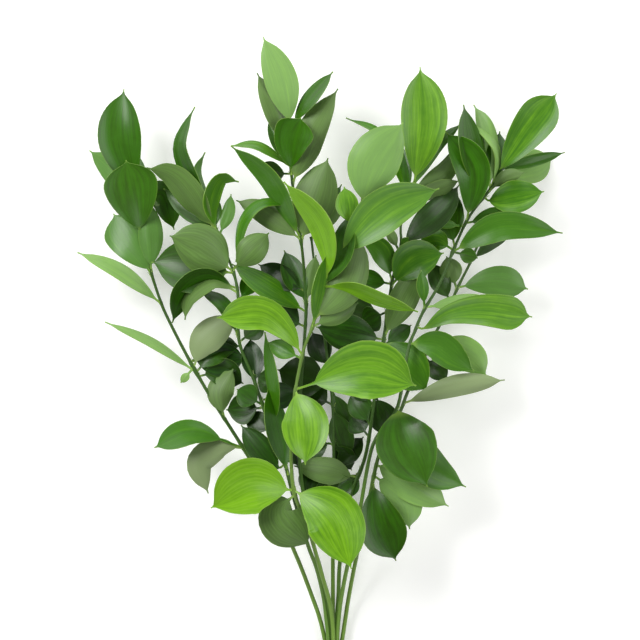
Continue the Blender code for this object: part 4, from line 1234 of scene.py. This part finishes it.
def leafy_stem(number, route, shapes, shift, settings, stem_settings, materials):
    """One leafy stem: its blades and its stem in one piece that stands for its solid."""
    name = "ruscus_" + STEMS[number].name
    draw = random.Random(SEED + number)
    own = [shape for shape in shapes if shape.row.stem == number]
    thick = blades(name, own, route, shift, draw, settings, materials)
    mesh = bmesh.new()
    mesh.from_mesh(thick)
    bpy.data.meshes.remove(thick)
    layers = (mesh.loops.layers.uv["blade"], mesh.verts.layers.float_color["look"])
    add_stem(mesh, layers, route, own, shift, stem_settings)
    keep_inside(mesh)
    piece = link(name, mesh, materials)
    piece.data.set_sharp_from_angle(angle=STEM_EDGE)
    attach(piece, "root")
    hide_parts(STEMS[number].name)


class RUSCUS_OT_leafy_stems(bpy.types.Operator):
    """Model the eight leafy stems"""

    bl_idname = "ruscus.leafy_stems"
    bl_label = "Leafy stems"

    def execute(self, context):
        leaves = context.scene.ruscus_leaves
        stems = context.scene.ruscus_stems
        materials = [leaf_upper(leaves), leaf_lower(leaves), leaf_margin(leaves),
                     stem_bark(stems), cut_pith(stems)]
        routes = [stem_route(stem) for stem in STEMS]
        shapes = settle(routes)
        shift = frame_shift()
        for number, route in enumerate(routes):
            leafy_stem(number, route, shapes, shift, leaves, stems, materials)
        return {"FINISHED"}


class RUSCUS_OT_tie_band(bpy.types.Operator):
    """Model the rubber band that ties the bunch"""

    bl_idname = "ruscus.tie_band"
    bl_label = "Rubber band"

    def execute(self, context):
        settings = context.scene.ruscus_tie
        low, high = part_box("tie_band")
        middle = (Vector(low) + Vector(high)) / 2
        width = (high[1] - low[1]) / settings.turns
        mesh = bmesh.new()
        for turn in range(settings.turns):
            self.add_turn(mesh, middle, low[1] + width * (turn + 0.5), width * BAND_FILL)
        bmesh.ops.recalc_face_normals(mesh, faces=mesh.faces)
        piece = link("ruscus_tie_band", mesh, [natural_rubber(settings)])
        piece.data.shade_smooth()
        piece.data.set_sharp_from_angle(angle=BAND_EDGE)
        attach(piece, "root")
        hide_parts("tie_band")
        return {"FINISHED"}

    def add_turn(self, mesh, middle, along, width):
        """One turn of the band: a flat strip with rounded edges, spun round the bundle."""
        start = Vector((middle.x + (TIE_INNER + TIE_HEIGHT) / 2, along, middle.z))
        verts = bmesh.ops.create_grid(mesh, x_segments=1, y_segments=1, size=0.5)["verts"]
        bmesh.ops.scale(mesh, verts=verts, vec=(TIE_WALL, width, 1.0))
        bmesh.ops.translate(mesh, verts=verts, vec=start)
        bmesh.ops.bevel(mesh, geom=verts, offset=TIE_WALL * BAND_ROUND, offset_type="OFFSET",
                        segments=BAND_SEGMENTS, profile=0.5, affect="VERTICES", material=-1)
        strip = min(mesh.faces, key=lambda face: (face.calc_center_median() - start).length)
        edges = list(strip.edges)
        bmesh.ops.delete(mesh, geom=[strip], context="FACES_ONLY")
        bmesh.ops.spin(mesh, geom=edges, cent=middle, axis=(0.0, 1.0, 0.0), angle=math.tau, steps=BAND_STEPS,
                       use_merge=True, use_duplicate=False, dvec=(0.0, 0.0, 0.0))


class RUSCUS_OT_stage(bpy.types.Operator):
    """Set up the pale floor, the soft lights and the camera"""

    bl_idname = "ruscus.stage"
    bl_label = "Studio stage"

    def execute(self, context):
        settings = context.scene.ruscus_stage
        self.add_floor(settings)
        self.add_lights(context.scene, settings)
        self.add_camera(context.scene, settings)
        context.scene.view_settings.view_transform = "Standard"
        return {"FINISHED"}

    def add_floor(self, settings):
        """A wide sheet just under the bunch."""
        mesh = bmesh.new()
        bmesh.ops.create_grid(mesh, x_segments=1, y_segments=1, size=FLOOR_SIZE / 2)
        bmesh.ops.translate(mesh, verts=mesh.verts, vec=(0.0, 0.0, -FLOOR_GAP_UNDER))
        link("studio_floor", mesh, [studio_floor(settings)])

    def add_lights(self, scene, settings):
        """A ring of large soft lights round the bunch, the strongest at the upper left, and an even sky."""
        for name, where, share in LIGHTS:
            light = bpy.data.lights.new(name, "AREA")
            light.shape = "DISK"
            light.size = LIGHT_SIZE
            light.energy = settings.key_power * share
            lamp = bpy.data.objects.new(name, light)
            lamp.location = where
            lamp.rotation_euler = Vector(where).to_track_quat("Z", "Y").to_euler()
            scene.collection.objects.link(lamp)
        world = bpy.data.worlds.new("soft_sky")
        world.use_nodes = True
        back = world.node_tree.nodes["Background"]
        back.inputs["Color"].default_value = linear("#FFFFFF")
        back.inputs["Strength"].default_value = settings.sky
        scene.world = world

    def add_camera(self, scene, settings):
        """Straight over the middle of the picture, far off, so that the view is nearly parallel."""
        camera = bpy.data.cameras.new("camera")
        middle = place(PICTURE_SIDE / 2, PICTURE_SIDE / 2) + frame_shift()
        camera.sensor_width = SENSOR
        camera.lens = SENSOR * (settings.camera_height - FOCUS_HEIGHT) / (PICTURE_SIDE * GRID)
        camera.clip_end = CAMERA_REACH
        holder = bpy.data.objects.new("camera", camera)
        holder.location = (middle.x, middle.y, settings.camera_height)
        scene.collection.objects.link(holder)
        scene.camera = holder


class RUSCUS_PT_bunch(bpy.types.Panel):
    """Lists the pieces of the bunch"""

    bl_label = "Ruscus bunch"
    bl_space_type = "VIEW_3D"
    bl_region_type = "UI"
    bl_category = "Ruscus"

    def draw(self, context):
        layout = self.layout
        for settings, operator in ((context.scene.ruscus_leaves, "ruscus.leafy_stems"),
                                   (context.scene.ruscus_stems, None),
                                   (context.scene.ruscus_tie, "ruscus.tie_band"),
                                   (context.scene.ruscus_stage, "ruscus.stage")):
            for name in settings.__annotations__:
                layout.prop(settings, name)
            if operator:
                layout.operator(operator)


CLASSES = (RuscusLeafSettings, RuscusStemSettings, RuscusTieSettings, RuscusStageSettings,
           RUSCUS_OT_leafy_stems, RUSCUS_OT_tie_band, RUSCUS_OT_stage, RUSCUS_PT_bunch)
SETTINGS = (("ruscus_leaves", RuscusLeafSettings), ("ruscus_stems", RuscusStemSettings),
            ("ruscus_tie", RuscusTieSettings), ("ruscus_stage", RuscusStageSettings))


def register():
    """Registers the classes and the scene's settings."""
    for made in CLASSES:
        bpy.utils.register_class(made)
    for name, group in SETTINGS:
        setattr(bpy.types.Scene, name, bpy.props.PointerProperty(type=group))


def unregister():
    """Removes the settings and the classes."""
    for name, _group in SETTINGS:
        delattr(bpy.types.Scene, name)
    for made in reversed(CLASSES):
        bpy.utils.unregister_class(made)


def main():
    """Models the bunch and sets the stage."""
    register()
    bpy.ops.ruscus.leafy_stems()
    bpy.ops.ruscus.tie_band()
    bpy.ops.ruscus.stage()


if __name__ == "__main__":
    main()
